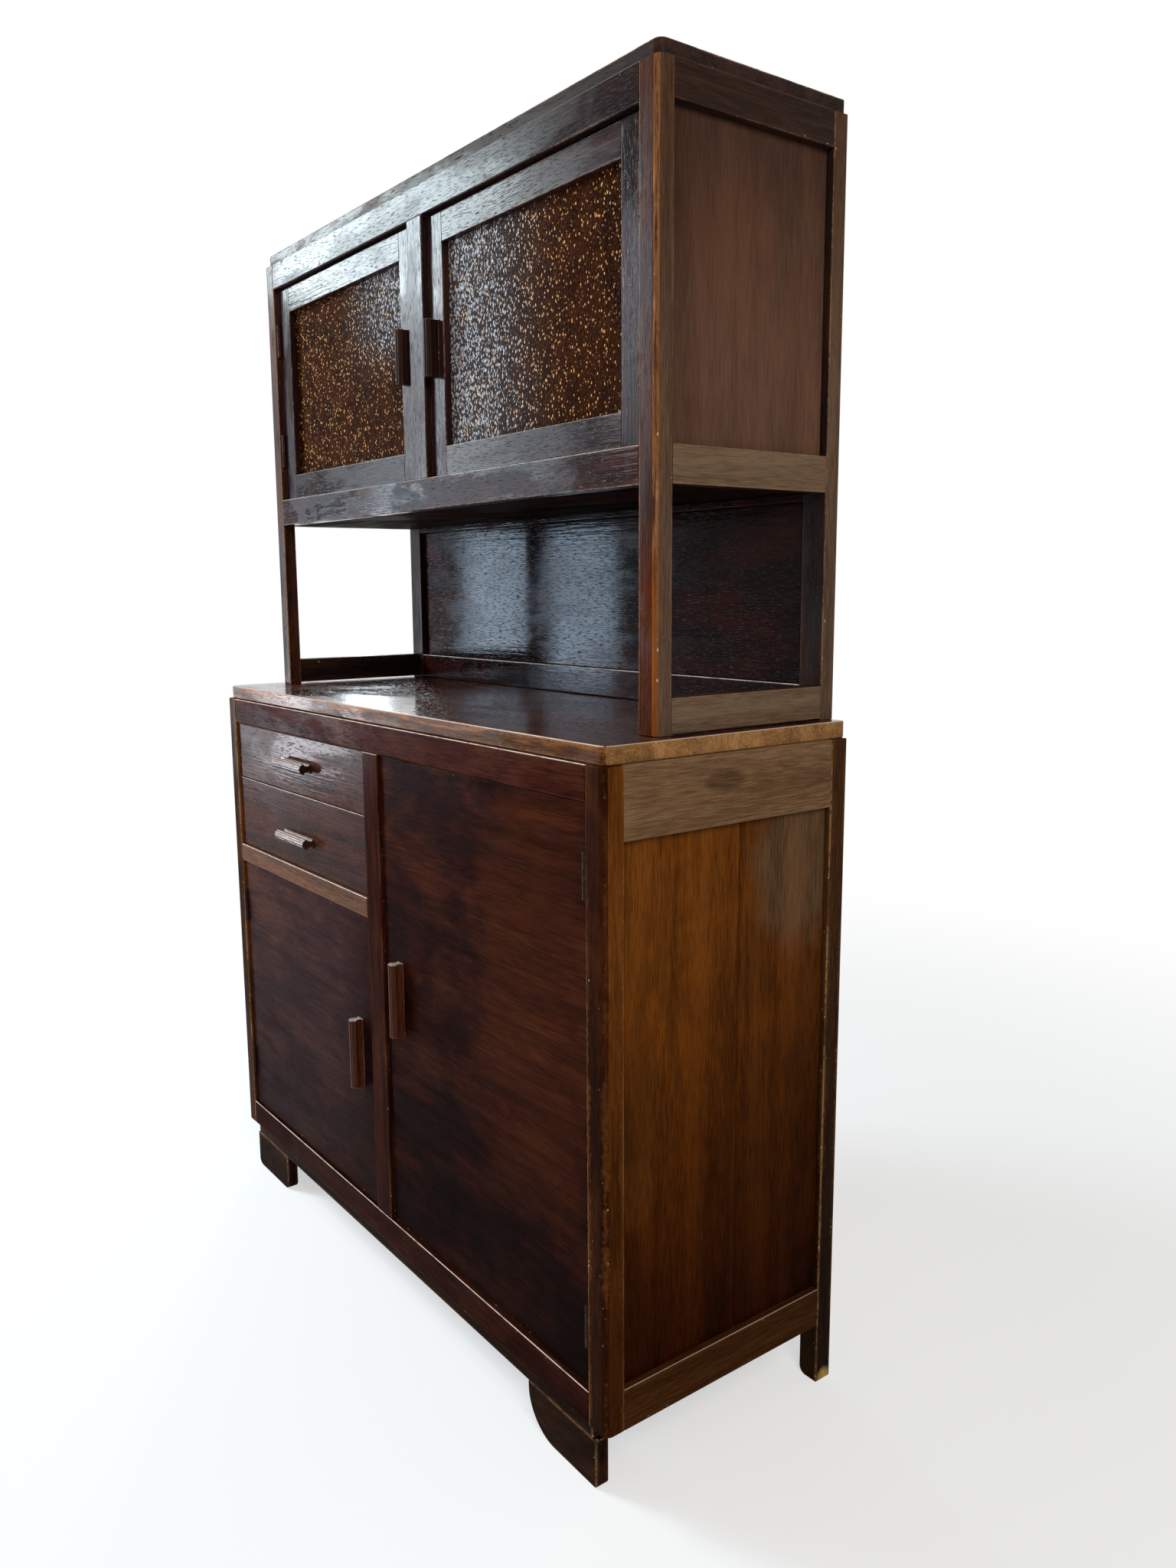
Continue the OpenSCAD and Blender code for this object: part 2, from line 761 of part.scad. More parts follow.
// Sides and back of a drawer box that stands on its runners at height z
module drawer_box(z, h) {
    box_y1 = drawer_back + drawer_l;
    for (x = [box_x0, box_x1 - drawer_side_t]) {
        block(x, drawer_back, z, x + drawer_side_t, box_y1, z + h);
    }
    block(box_x0 + drawer_side_t, box_y1 - drawer_side_t, z, box_x1 - drawer_side_t, box_y1, z + h);
}

module drawer_bottom(z) {
    bottom_z = z + drawer_bottom_rise;
    block(box_x0 + drawer_side_t, drawer_back, bottom_z, box_x1 - drawer_side_t,
        drawer_back + drawer_l - drawer_side_t, bottom_z + drawer_bottom_t);
}

module upper_drawer_front() color(front_brown) drawer_front(upper_front_z0, upper_front_z1);
module upper_drawer_box() color(inner_wood) drawer_box(upper_front_z0, upper_box_h);
module upper_drawer_bottom() color(inner_wood) drawer_bottom(upper_front_z0);
module lower_drawer_front() color(front_brown) drawer_front(lower_front_z0, lower_front_z1);
module lower_drawer_box() color(inner_wood) drawer_box(lower_front_z0, lower_box_h);
module lower_drawer_bottom() color(inner_wood) drawer_bottom(lower_front_z0);

module upper_drawer_handle() {
    mid = (upper_front_z0 + upper_front_z1) / 2;
    color(edge_brown) level_handle(drawer_mid_x, drawer_y, mid, drawer_handle_l);
}

module lower_drawer_handle() {
    mid = (lower_front_z0 + lower_front_z1) / 2 - lower_drawer_handle_drop;
    color(edge_brown) level_handle(drawer_mid_x, drawer_y, mid, drawer_handle_l);
}

base_front_posts();
base_centre_post();
base_back_posts();
base_top_rail();
base_drawer_rail();
base_bottom_rail();
base_side_rails();
base_side_boards();
base_back_panel();
base_floor();
base_floor_cleats();
base_front_feet();
base_partition();
base_shelves();
base_shelf_battens();
drawer_runners();
base_hinge_leaves();
table_top();
hutch_front_posts();
hutch_back_posts();
hutch_mullion();
hutch_top_rail();
hutch_mid_rail();
hutch_side_rails();
hutch_side_panels();
hutch_back_rails();
display_floor();
display_shelf();
display_shelf_battens();
display_back_panel();
niche_back_panel();
hutch_hinge_leaves();
cap_board();
left_glass_stiles();
left_glass_rails();
left_glass_pane();
left_glass_beads();
left_glass_handle();
left_glass_hinges();
right_glass_stiles();
right_glass_rails();
right_glass_pane();
right_glass_beads();
right_glass_handle();
right_glass_hinges();
left_door_panel();
left_door_handle();
left_door_hinges();
right_door_panel();
right_door_handle();
right_door_hinges();
upper_drawer_front();
upper_drawer_box();
upper_drawer_bottom();
upper_drawer_handle();
lower_drawer_front();
lower_drawer_box();
lower_drawer_bottom();
lower_drawer_handle();
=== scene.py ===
"""Display cabinet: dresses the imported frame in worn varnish, amber glass and old brass, and lights it."""

import json
import logging
import math
import random
from dataclasses import dataclass, replace
from enum import Enum
from typing import Callable

import bmesh
import bpy
from mathutils import Matrix, Vector

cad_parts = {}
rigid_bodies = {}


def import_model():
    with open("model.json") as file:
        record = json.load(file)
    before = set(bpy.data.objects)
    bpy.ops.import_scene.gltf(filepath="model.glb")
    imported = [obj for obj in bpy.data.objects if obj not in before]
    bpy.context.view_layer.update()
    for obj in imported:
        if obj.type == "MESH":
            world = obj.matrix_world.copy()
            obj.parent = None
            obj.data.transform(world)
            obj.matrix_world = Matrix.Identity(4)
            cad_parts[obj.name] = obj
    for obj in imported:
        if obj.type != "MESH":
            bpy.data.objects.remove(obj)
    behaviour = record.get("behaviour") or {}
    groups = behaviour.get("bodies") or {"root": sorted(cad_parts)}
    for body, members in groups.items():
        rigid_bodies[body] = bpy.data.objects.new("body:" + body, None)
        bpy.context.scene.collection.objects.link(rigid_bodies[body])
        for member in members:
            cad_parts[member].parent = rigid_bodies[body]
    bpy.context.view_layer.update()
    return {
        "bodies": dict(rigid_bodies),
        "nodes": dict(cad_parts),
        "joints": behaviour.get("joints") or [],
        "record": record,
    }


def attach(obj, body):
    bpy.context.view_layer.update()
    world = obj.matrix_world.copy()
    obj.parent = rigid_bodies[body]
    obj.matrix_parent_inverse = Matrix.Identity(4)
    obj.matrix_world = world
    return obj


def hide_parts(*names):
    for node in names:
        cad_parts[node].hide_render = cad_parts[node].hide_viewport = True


Colour = tuple[float, float, float]
Point = tuple[float, float, float]
Range = tuple[float, float]
Socket = bpy.types.NodeSocket

LOG = logging.getLogger("display_cabinet")

# White of the studio, the colours of nicks and flecks in the varnish, and the pale colour of rubbed ledges,
# which is partly painted highlight.
WHITE: Colour = (1.0, 1.0, 1.0)
NICK: Colour = (0.55, 0.40, 0.25)
LEDGE_HIGHLIGHT_AND_WEAR: Colour = (0.80, 0.64, 0.56)
FLECK: Colour = (0.50, 0.36, 0.24)

# Copies a metre of the patterns that the finishes share.
PORE_SCALE = 900.0
WEAR_SCALE = 7.0
RAGGED_SCALE = 130.0
NICK_SCALE = 210.0
STROKE_SCALE = 170.0
SWEEP_SCALE = 26.0
FLECK_SCALE = 42.0
BLOTCH_SCALE = 9.0
CLOUD_SCALE = 7.0
BREAK_SCALE = 60.0

# Factors along the fibres: the lower, the longer the pattern runs that way.
PORE_RUN = 0.07
STROKE_RUN = 0.05
SWEEP_RUN = 0.18
PATCH_RUN = 0.6
NICK_RUN = 0.5
FLECK_RUN = 0.55
BLOTCH_RUN = 0.55

# Wood grain: waves of the figure over the whole range of its noise, what the tone takes from the fibres
# and from the figure, and the values between which tone, figure and pores come out.
RINGS = 44.0
FIBRE_SHARE = 0.55
FIGURE_SHARE = 0.45
TONE_NOISE: Range = (0.34, 0.66)
FIGURE_WAVE: Range = (-0.9, 0.9)
PORE_NOISE: Range = (0.60, 0.72)

# Edge wear: width of the band in reaches, where it is thin and where it is wide, how ragged it is, and
# where an arris is rubbed bare, with the distances in metres between which that line ends.
BAND_NOISE: Range = (0.36, 0.66)
BAND_WIDTH: Range = (0.25, 1.5)
RAGGEDNESS = 2.0
BARE_NOISE: Range = (0.44, 0.58)
LINE_END: Range = (0.0006, 0.0026)

# Nicks: their chance where few and where many are, their largest size and their outline in cells, and
# how far from the arris they lie, in reaches.
NICK_NOISE: Range = (0.42, 0.66)
NICK_CHANCE: Range = (0.04, 0.40)
NICK_SIZE = 0.16
NICK_OUTLINE = 0.09
NICK_REACH = 1.8

# Film: what its polish takes from the patches and from the sweeps of the brush, what its marks take from
# the strokes and from the sweeps, and the chance and sizes of its flecks, in cells.
PATCH_SHARE = 0.62
PATCH_SWEEP = 0.38
STROKE_SHARE = 0.6
STROKE_SWEEP = 0.4
FLECK_CHANCE = 0.2
FLECK_CORE = 0.012
FLECK_LEAST = 0.03
FLECK_GROWTH = 0.06

# Blotches: noise values between which they come out, and their strength on dark fibres.
BLOTCH_NOISE: Range = (0.42, 0.66)
BLOTCH_ON_DARK = 0.35

# Dark share of the worn band on light fibres, and how much stronger than the band the arris's line is.
WORN_DARK = 0.55
LINE_GAIN = 1.5

# The pale line along upward-facing arrises, partly painted highlight and partly rubbed wear: noise values
# between which it comes out, and its least strength.
BREAK_NOISE: Range = (0.34, 0.56)
BREAK_LEAST = 0.5

# Unevenness of fades in metres and of spots in reaches, a spot's outline, and its tint on dark fibres.
FADE_CLOUD = 0.3
SPOT_CLOUD = 1.6
SPOT_OUTLINE: Range = (0.55, 1.15)
SPOT_ON_DARK = 0.45

# Noise value where the film is half polished.
HALF_POLISH = 0.49

# Shares of the film's details in the colour, the roughness and the height.
FLECK_COVER = 0.8
PORE_COVER = 0.5
PORE_ROUGHNESS = 0.30
WEAR_ROUGHNESS = 0.08
PORE_DEPTH = 0.3
FLECK_DEPTH = 1.5
FILM_BUMP = 0.6

# Least share of a face's normal along an axis, for the face to count as looking that way.
FACING = 0.72
FACING_WELL = 0.9
LEDGE_FACING = 0.55

# Shares along X between which a face turns from the front to the side, and the most along Y.
CORNER_LEAST = 0.2
CORNER_MOST = 0.97
CORNER_FRONT = -0.1

# Limits for merging, flattening, easing and shading a board's mesh.
MERGE_DISTANCE = 1e-5
FLAT_ANGLE = math.radians(1.0)
ARRIS_ANGLE = math.radians(30.0)
SMOOTH_ANGLE = math.radians(35.0)

# Metres added to a board's half length, so that an end in a joint doesn't wear.
HIDDEN_END = 10.0

# Metres by which a board's pattern is moved at most, so that no two boards are alike.
GRAIN_SPREAD = 9.0


class Fibres(Enum):
    """Axis that the wood's fibres follow, with the order that puts that axis last."""

    ALONG_X = (1, 2, 0)
    ALONG_Y = (2, 0, 1)
    ALONG_Z = (0, 1, 2)


class Faces(Enum):
    """Faces of a board that take another finish."""

    SIDES = "faces that look left or right"
    CORNER = "faces that turn from the front to the side"
    OUTER = "faces that look away from the middle of the cabinet"
    RIM = "faces that don't look up or down"
    ENDS = "faces across the fibres"
    BELOW = "boards that lie below a level"
    ABOVE = "boards that lie above a level"


@dataclass
class Wiring:
    """Adds shader nodes to one tree and links them.

    Attributes:
        tree: Node tree of a material, a world or a group.
    """

    tree: bpy.types.NodeTree

    def add(self, kind: str, **settings: object) -> bpy.types.Node:
        """Adds one node.

        Args:
            kind: Blender's type name of the node.
            settings: Properties of the node, by name.

        Returns:
            The new node.
        """
        node = self.tree.nodes.new(kind)
        for name, value in settings.items():
            setattr(node, name, value)
        return node

    def feed(self, socket: Socket, value: object) -> None:
        """Links a socket to another, or sets its constant.

        Args:
            socket: Input to feed.
            value: An output socket, a number, a vector or a colour.
        """
        if isinstance(value, bpy.types.NodeSocket):
            self.tree.links.new(value, socket)
        elif isinstance(value, tuple) and socket.type == "RGBA":
            socket.default_value = (*value, 1.0)
        else:
            socket.default_value = value

    def math(self, operation: str, *values: object) -> Socket:
        """Adds a math node.

        Args:
            operation: Blender's name of what it does.
            values: One to three sockets or numbers.

        Returns:
            The result.
        """
        node = self.add("ShaderNodeMath", operation=operation)
        for socket, value in zip(node.inputs, values):
            self.feed(socket, value)
        return node.outputs[0]

    def times(self, first: object, second: object) -> Socket:
        """The product of two values."""
        return self.math("MULTIPLY", first, second)

    def vector(self, operation: str, *values: object) -> Socket:
        """Adds a vector math node that gives a vector.

        Args:
            operation: Blender's name of what it does.
            values: One or two sockets or vectors.

        Returns:
            The resulting vector.
        """
        node = self.add("ShaderNodeVectorMath", operation=operation)
        for socket, value in zip(node.inputs, values):
            self.feed(socket, value)
        return node.outputs[0]

    def run(self, place: Socket, factor: float) -> Socket:
        """The place with a factor along the fibres, so that a pattern runs long that way."""
        return self.vector("MULTIPLY", place, (1.0, 1.0, factor))

    def length(self, vector: Socket) -> Socket:
        """Measures a vector.

        Args:
            vector: The vector.

        Returns:
            Its length.
        """
        node = self.add("ShaderNodeVectorMath", operation="LENGTH")
        self.feed(node.inputs[0], vector)
        return node.outputs["Value"]

    def mix(self, factor: object, first: object, second: object, blend: str = "MIX") -> Socket:
        """Colour between two colours.

        Args:
            factor: Share of the second colour.
            first: Colour at factor 0.
            second: Colour at factor 1.
            blend: Blender's name of the way that the colours mix.

        Returns:
            The mixed colour.
        """
        node = self.add("ShaderNodeMix", data_type="RGBA", blend_type=blend, clamp_factor=True)
        self.feed(node.inputs[0], factor)
        self.feed(node.inputs[6], first)
        self.feed(node.inputs[7], second)
        return node.outputs[2]

    def noise(self, place: Socket, scale: object, detail: float = 2.0, rough: float = 0.5,
              bend: float = 0.0) -> Socket:
        """Noise round 0.5.

        Args:
            place: Point that it is read at.
            scale: Copies a metre.
            detail: Layers of finer noise.
            rough: Strength of the finer layers.
            bend: How far it is bent.

        Returns:
            The noise's value.
        """
        node = self.add("ShaderNodeTexNoise", noise_dimensions="3D")
        self.feed(node.inputs["Vector"], place)
        self.feed(node.inputs["Scale"], scale)
        node.inputs["Detail"].default_value = detail
        node.inputs["Roughness"].default_value = rough
        node.inputs["Distortion"].default_value = bend
        return node.outputs["Fac"]

    def cells(self, place: Socket, scale: float) -> tuple[Socket, tuple[Socket, ...]]:
        """Cells round scattered points.

        Args:
            place: Point that they are read at.
            scale: Cells a metre.

        Returns:
            The distance to the cell's point, and three random numbers of the cell.
        """
        node = self.add("ShaderNodeTexVoronoi", feature="F1", voronoi_dimensions="3D")
        self.feed(node.inputs["Vector"], place)
        node.inputs["Scale"].default_value = scale
        return node.outputs["Distance"], self.split(node.outputs["Color"])

    def span(self, value: object, low: object, high: object, start: object = 0.0,
             end: object = 1.0) -> Socket:
        """Smooth step of a value.

        Args:
            value: Value that is read.
            low: Value where the step begins.
            high: Value where it ends.
            start: What it gives up to low.
            end: What it gives from high on.

        Returns:
            The step's value.
        """
        node = self.add("ShaderNodeMapRange", interpolation_type="SMOOTHSTEP", clamp=True)
        for name, number in (("Value", value), ("From Min", low), ("From Max", high),
                             ("To Min", start), ("To Max", end)):
            self.feed(node.inputs[name], number)
        return node.outputs[0]

    def attribute(self, name: str, output: str = "Vector") -> Socket:
        """Reads an attribute of the mesh.

        Args:
            name: Name of the attribute.
            output: Vector, or Fac where the attribute is a number.

        Returns:
            Its value.
        """
        node = self.add("ShaderNodeAttribute", attribute_type="GEOMETRY", attribute_name=name)
        return node.outputs[output]

    def here(self) -> Socket:
        """The piece's own coordinates."""
        return self.add("ShaderNodeTexCoord").outputs["Object"]

    def split(self, vector: Socket) -> tuple[Socket, ...]:
        """Takes a vector or a colour apart.

        Args:
            vector: The vector.

        Returns:
            Its three numbers.
        """
        node = self.add("ShaderNodeSeparateXYZ")
        self.feed(node.inputs[0], vector)
        return tuple(node.outputs)

    def raise_by(self, shader: bpy.types.Node, height: Socket, depth: float, strength: float) -> None:
        """Gives a shader a relief.

        Args:
            shader: Shader whose normal it feeds.
            height: Height from 0 to 1.
            depth: Depth of the relief in metres.
            strength: Strength of the relief, from 0 to 1.
        """
        bump = self.add("ShaderNodeBump")
        bump.inputs["Strength"].default_value = strength
        bump.inputs["Distance"].default_value = depth
        self.feed(bump.inputs["Height"], height)
        self.feed(shader.inputs["Normal"], bump.outputs["Normal"])


@dataclass
class Group:
    """A shader node group that several finishes share, with its named inputs and outputs.

    Attributes:
        name: Name of the group.
        inputs: Default of each input, by name; a tuple of three is a vector.
        outputs: Names of the outputs, which are numbers.
    """

    name: str
    inputs: dict[str, object]
    outputs: tuple[str, ...]

    def __post_init__(self) -> None:
        """Starts the group with its sockets."""
        self.tree = bpy.data.node_groups.new(self.name, "ShaderNodeTree")
        for key, default in self.inputs.items():
            kind = "NodeSocketVector" if isinstance(default, tuple) else "NodeSocketFloat"
            socket = self.tree.interface.new_socket(name=key, in_out="INPUT", socket_type=kind)
            socket.default_value = default
        for key in self.outputs:
            self.tree.interface.new_socket(name=key, in_out="OUTPUT", socket_type="NodeSocketFloat")
        self.wiring = Wiring(self.tree)
        self.given = self.wiring.add("NodeGroupInput").outputs
        self.out = self.wiring.add("NodeGroupOutput")

    def give(self, **values: Socket) -> None:
        """Feeds the outputs, by name."""
        for key, value in values.items():
            self.wiring.feed(self.out.inputs[key], value)


def grain_group() -> bpy.types.NodeTree:
    """Wood grain whose fibres run along the third axis of its Place input.

    Returns:
        A group that gives Tone, Figure and Pores, each from 0 to 1.
    """
    group = Group(
        "Wood grain",
        {"Place": (0.0, 0.0, 0.0), "Fibre": 0.0022, "Figure size": 0.035, "Stretch": 16.0},
        ("Tone", "Figure", "Pores"),
    )
    w, given = group.wiring, group.given
    place = given["Place"]
    slow = w.math("DIVIDE", 1.0, given["Stretch"])
    squeeze = w.add("ShaderNodeCombineXYZ")
    w.feed(squeeze.inputs[0], 1.0)
    w.feed(squeeze.inputs[1], 1.0)
    w.feed(squeeze.inputs[2], slow)
    along = w.vector("MULTIPLY", place, squeeze.outputs[0])
    fibre = w.noise(along, w.math("DIVIDE", 1.0, given["Fibre"]), 3.0, 0.6)
    broad = w.noise(along, w.math("DIVIDE", 1.0, given["Figure size"]), 2.0, 0.45, 0.6)
    rings = w.math("SINE", w.times(broad, RINGS))
    tone = w.math("ADD", w.times(fibre, FIBRE_SHARE), w.times(broad, FIGURE_SHARE))
    pores = w.noise(w.run(place, PORE_RUN), PORE_SCALE, 1.0)
    group.give(
        Tone=w.span(tone, *TONE_NOISE),
        Figure=w.span(rings, *FIGURE_WAVE),
        Pores=w.span(pores, *PORE_NOISE),
    )
    return group.tree


def wear_group() -> bpy.types.NodeTree:
    """Wear at the free arrises of a board.

    Returns:
        A group that gives Wear, a ragged band along the arrises, Line, the arris itself where it
        is rubbed, and Chips, small pale nicks near it.
    """
    group = Group(
        "Edge wear",
        {"Place": (0.0, 0.0, 0.0), "Half": (1.0, 1.0, 1.0), "Shift": (0.0, 0.0, 0.0), "Reach": 0.006},
        ("Wear", "Line", "Chips"),
    )
    w, given = group.wiring, group.given
    place, reach = given["Place"], given["Reach"]
    grown = w.vector("ADD", place, given["Shift"])
    gaps = w.split(w.vector("SUBTRACT", given["Half"], w.vector("ABSOLUTE", place)))
    least = w.math("MINIMUM", w.math("MINIMUM", gaps[0], gaps[1]), gaps[2])
    most = w.math("MAXIMUM", w.math("MAXIMUM", gaps[0], gaps[1]), gaps[2])
    total = w.math("ADD", w.math("ADD", gaps[0], gaps[1]), gaps[2])
    edge = w.math("SUBTRACT", w.math("SUBTRACT", total, least), most)
    coarse = w.noise(grown, WEAR_SCALE, 3.0, 0.6)
    fine = w.noise(grown, RAGGED_SCALE, 3.0, 0.65)
    ragged = w.times(w.math("SUBTRACT", fine, 0.5), w.times(reach, RAGGEDNESS))
    far = w.times(reach, w.span(coarse, *BAND_NOISE, *BAND_WIDTH))
    band = w.span(w.math("ADD", edge, ragged), 0.0, far, 1.0, 0.0)
    bare = w.span(w.math("ADD", w.times(coarse, 0.5), w.times(fine, 0.5)), *BARE_NOISE)
    line = w.times(w.span(edge, *LINE_END, 1.0, 0.0), bare)
    apart, chosen = w.cells(w.run(grown, NICK_RUN), NICK_SCALE)
    rare = w.math("LESS_THAN", chosen[0], w.span(coarse, *NICK_NOISE, *NICK_CHANCE))
    size = w.times(chosen[1], NICK_SIZE)
    nick = w.times(rare, w.span(apart, size, w.math("ADD", size, NICK_OUTLINE), 1.0, 0.0))
    near = w.span(edge, 0.0, w.times(reach, NICK_REACH), 1.0, 0.0)
    group.give(Wear=band, Line=line, Chips=w.times(nick, near))
    return group.tree


def film_group() -> bpy.types.NodeTree:
    """Old brushed varnish: how polished it still is, its brush marks and its small damage.

    Returns:
        A group that gives Polish, Marks and Flecks, each from 0 to 1.
    """
    group = Group(
        "Varnish film",
        {"Place": (0.0, 0.0, 0.0), "Patch size": 0.16, "Softness": 0.09, "Flecks amount": 0.5},
        ("Polish", "Marks", "Flecks"),
    )
    w, given = group.wiring, group.given
    place, soft = given["Place"], given["Softness"]
    patch = w.noise(w.run(place, PATCH_RUN), w.math("DIVIDE", 1.0, given["Patch size"]), 4.0, 0.6, 0.8)
    strokes = w.noise(w.run(place, STROKE_RUN), STROKE_SCALE, 3.0, 0.6)
    sweep = w.noise(w.run(place, SWEEP_RUN), SWEEP_SCALE, 3.0, 0.6, 0.5)
    polish = w.math("ADD", w.times(patch, PATCH_SHARE), w.times(sweep, PATCH_SWEEP))
    low, high = w.math("SUBTRACT", HALF_POLISH, soft), w.math("ADD", HALF_POLISH, soft)
    marks = w.math("ADD", w.times(strokes, STROKE_SHARE), w.times(sweep, STROKE_SWEEP))
    apart, chosen = w.cells(w.run(place, FLECK_RUN), FLECK_SCALE)
    rare = w.math("LESS_THAN", chosen[0], w.times(given["Flecks amount"], FLECK_CHANCE))
    size = w.math("ADD", FLECK_LEAST, w.times(chosen[1], FLECK_GROWTH))
    fleck = w.times(rare, w.span(apart, FLECK_CORE, size, 1.0, 0.0))
    group.give(Polish=w.span(polish, low, high), Marks=marks, Flecks=fleck)
    return group.tree


class Groups:
    """The node groups that several finishes share, each built once."""

    _built: dict[str, bpy.types.NodeTree] = {}
    _makers: dict[str, Callable[[], bpy.types.NodeTree]] = {
        "grain": grain_group, "wear": wear_group, "film": film_group,
    }

    @classmethod
    def place(cls, wiring: Wiring, name: str, **values: object) -> bpy.types.Node:
        """Puts a group into a material.

        Args:
            wiring: Wiring of the material.
            name: The group's short name.
            values: What feeds its inputs, with underscores for spaces.

        Returns:
            The group node.
        """
        if name not in cls._built:
            cls._built[name] = cls._makers[name]()
        node = wiring.add("ShaderNodeGroup", node_tree=cls._built[name])
        for key, value in values.items():
            wiring.feed(node.inputs[key.replace("_", " ")], value)
        return node


@dataclass(frozen=True)
class Fade:
    """Slow change of a finish across the cabinet, along one axis.

    Attributes:
        axis: 0 for X, 1 for Y, 2 for Z.
        full: Place in metres where the tint is full.
        none: Place where the finish is as written.
        tint: Colour that the finish is multiplied with where the tint is full.
    """

    axis: int
    full: float
    none: float
    tint: Colour

    def over(self, w: Wiring, wood: Socket, where: Socket, cloud: Socket) -> Socket:
        """Lays the change over a colour.

        Args:
            w: Wiring of the material.
            wood: Colour of the wood.
            where: Place on the cabinet.
            cloud: Noise round 0 that makes the change uneven.

        Returns:
            The changed colour.
        """
        place = w.math("ADD", w.split(where)[self.axis], w.times(cloud, FADE_CLOUD))
        low, high = min(self.full, self.none), max(self.full, self.none)
        ends = (1.0, 0.0) if self.full < self.none else (0.0, 1.0)
        return w.mix(w.span(place, low, high, *ends), wood, self.tint, "MULTIPLY")


@dataclass(frozen=True)
class Spot:
    """A patch of another colour at one place of the cabinet.

    Attributes:
        middle: Its middle in metres.
        reach: How far it goes along each axis.
        tint: Its colour.
        share: How far it covers the finish, from 0 to 1.
    """

    middle: Point
    reach: Point
    tint: Colour
    share: float = 0.8

    def over(self, w: Wiring, wood: Socket, where: Socket, cloud: Socket, tone: Socket) -> Socket:
        """Lays the patch over a colour.

        Args:
            w: Wiring of the material.
            wood: Colour of the wood.
            where: Place on the cabinet.
            cloud: Noise round 0 that makes the outline uneven.
            tone: Tone of the grain, which goes on through the patch.

        Returns:
            The changed colour.
        """
        apart = w.vector("DIVIDE", w.vector("SUBTRACT", where, self.middle), self.reach)
        far = w.math("ADD", w.length(apart), w.times(cloud, SPOT_CLOUD))
        tinted = w.mix(tone, tuple(SPOT_ON_DARK * v for v in self.tint), self.tint)
        return w.mix(w.span(far, *SPOT_OUTLINE, self.share, 0.0), wood, tinted)


@dataclass(frozen=True)
class Finish:
    """A finish with one material.

    Attributes:
        name: Name of the material.
    """

    name: str

    def material(self) -> bpy.types.Material:
        """Gives the material, which is made on its first use.

        Returns:
            The material.
        """
        made = bpy.data.materials.get(self.name)
        if made is None:
            made = bpy.data.materials.new(self.name)
            made.use_nodes = True
            self.paint(Wiring(made.node_tree), made.node_tree.nodes["Principled BSDF"])
        return made

    def paint(self, w: Wiring, shader: bpy.types.Node) -> None:
        """Wires the material; each kind of finish has its own way."""
        raise NotImplementedError


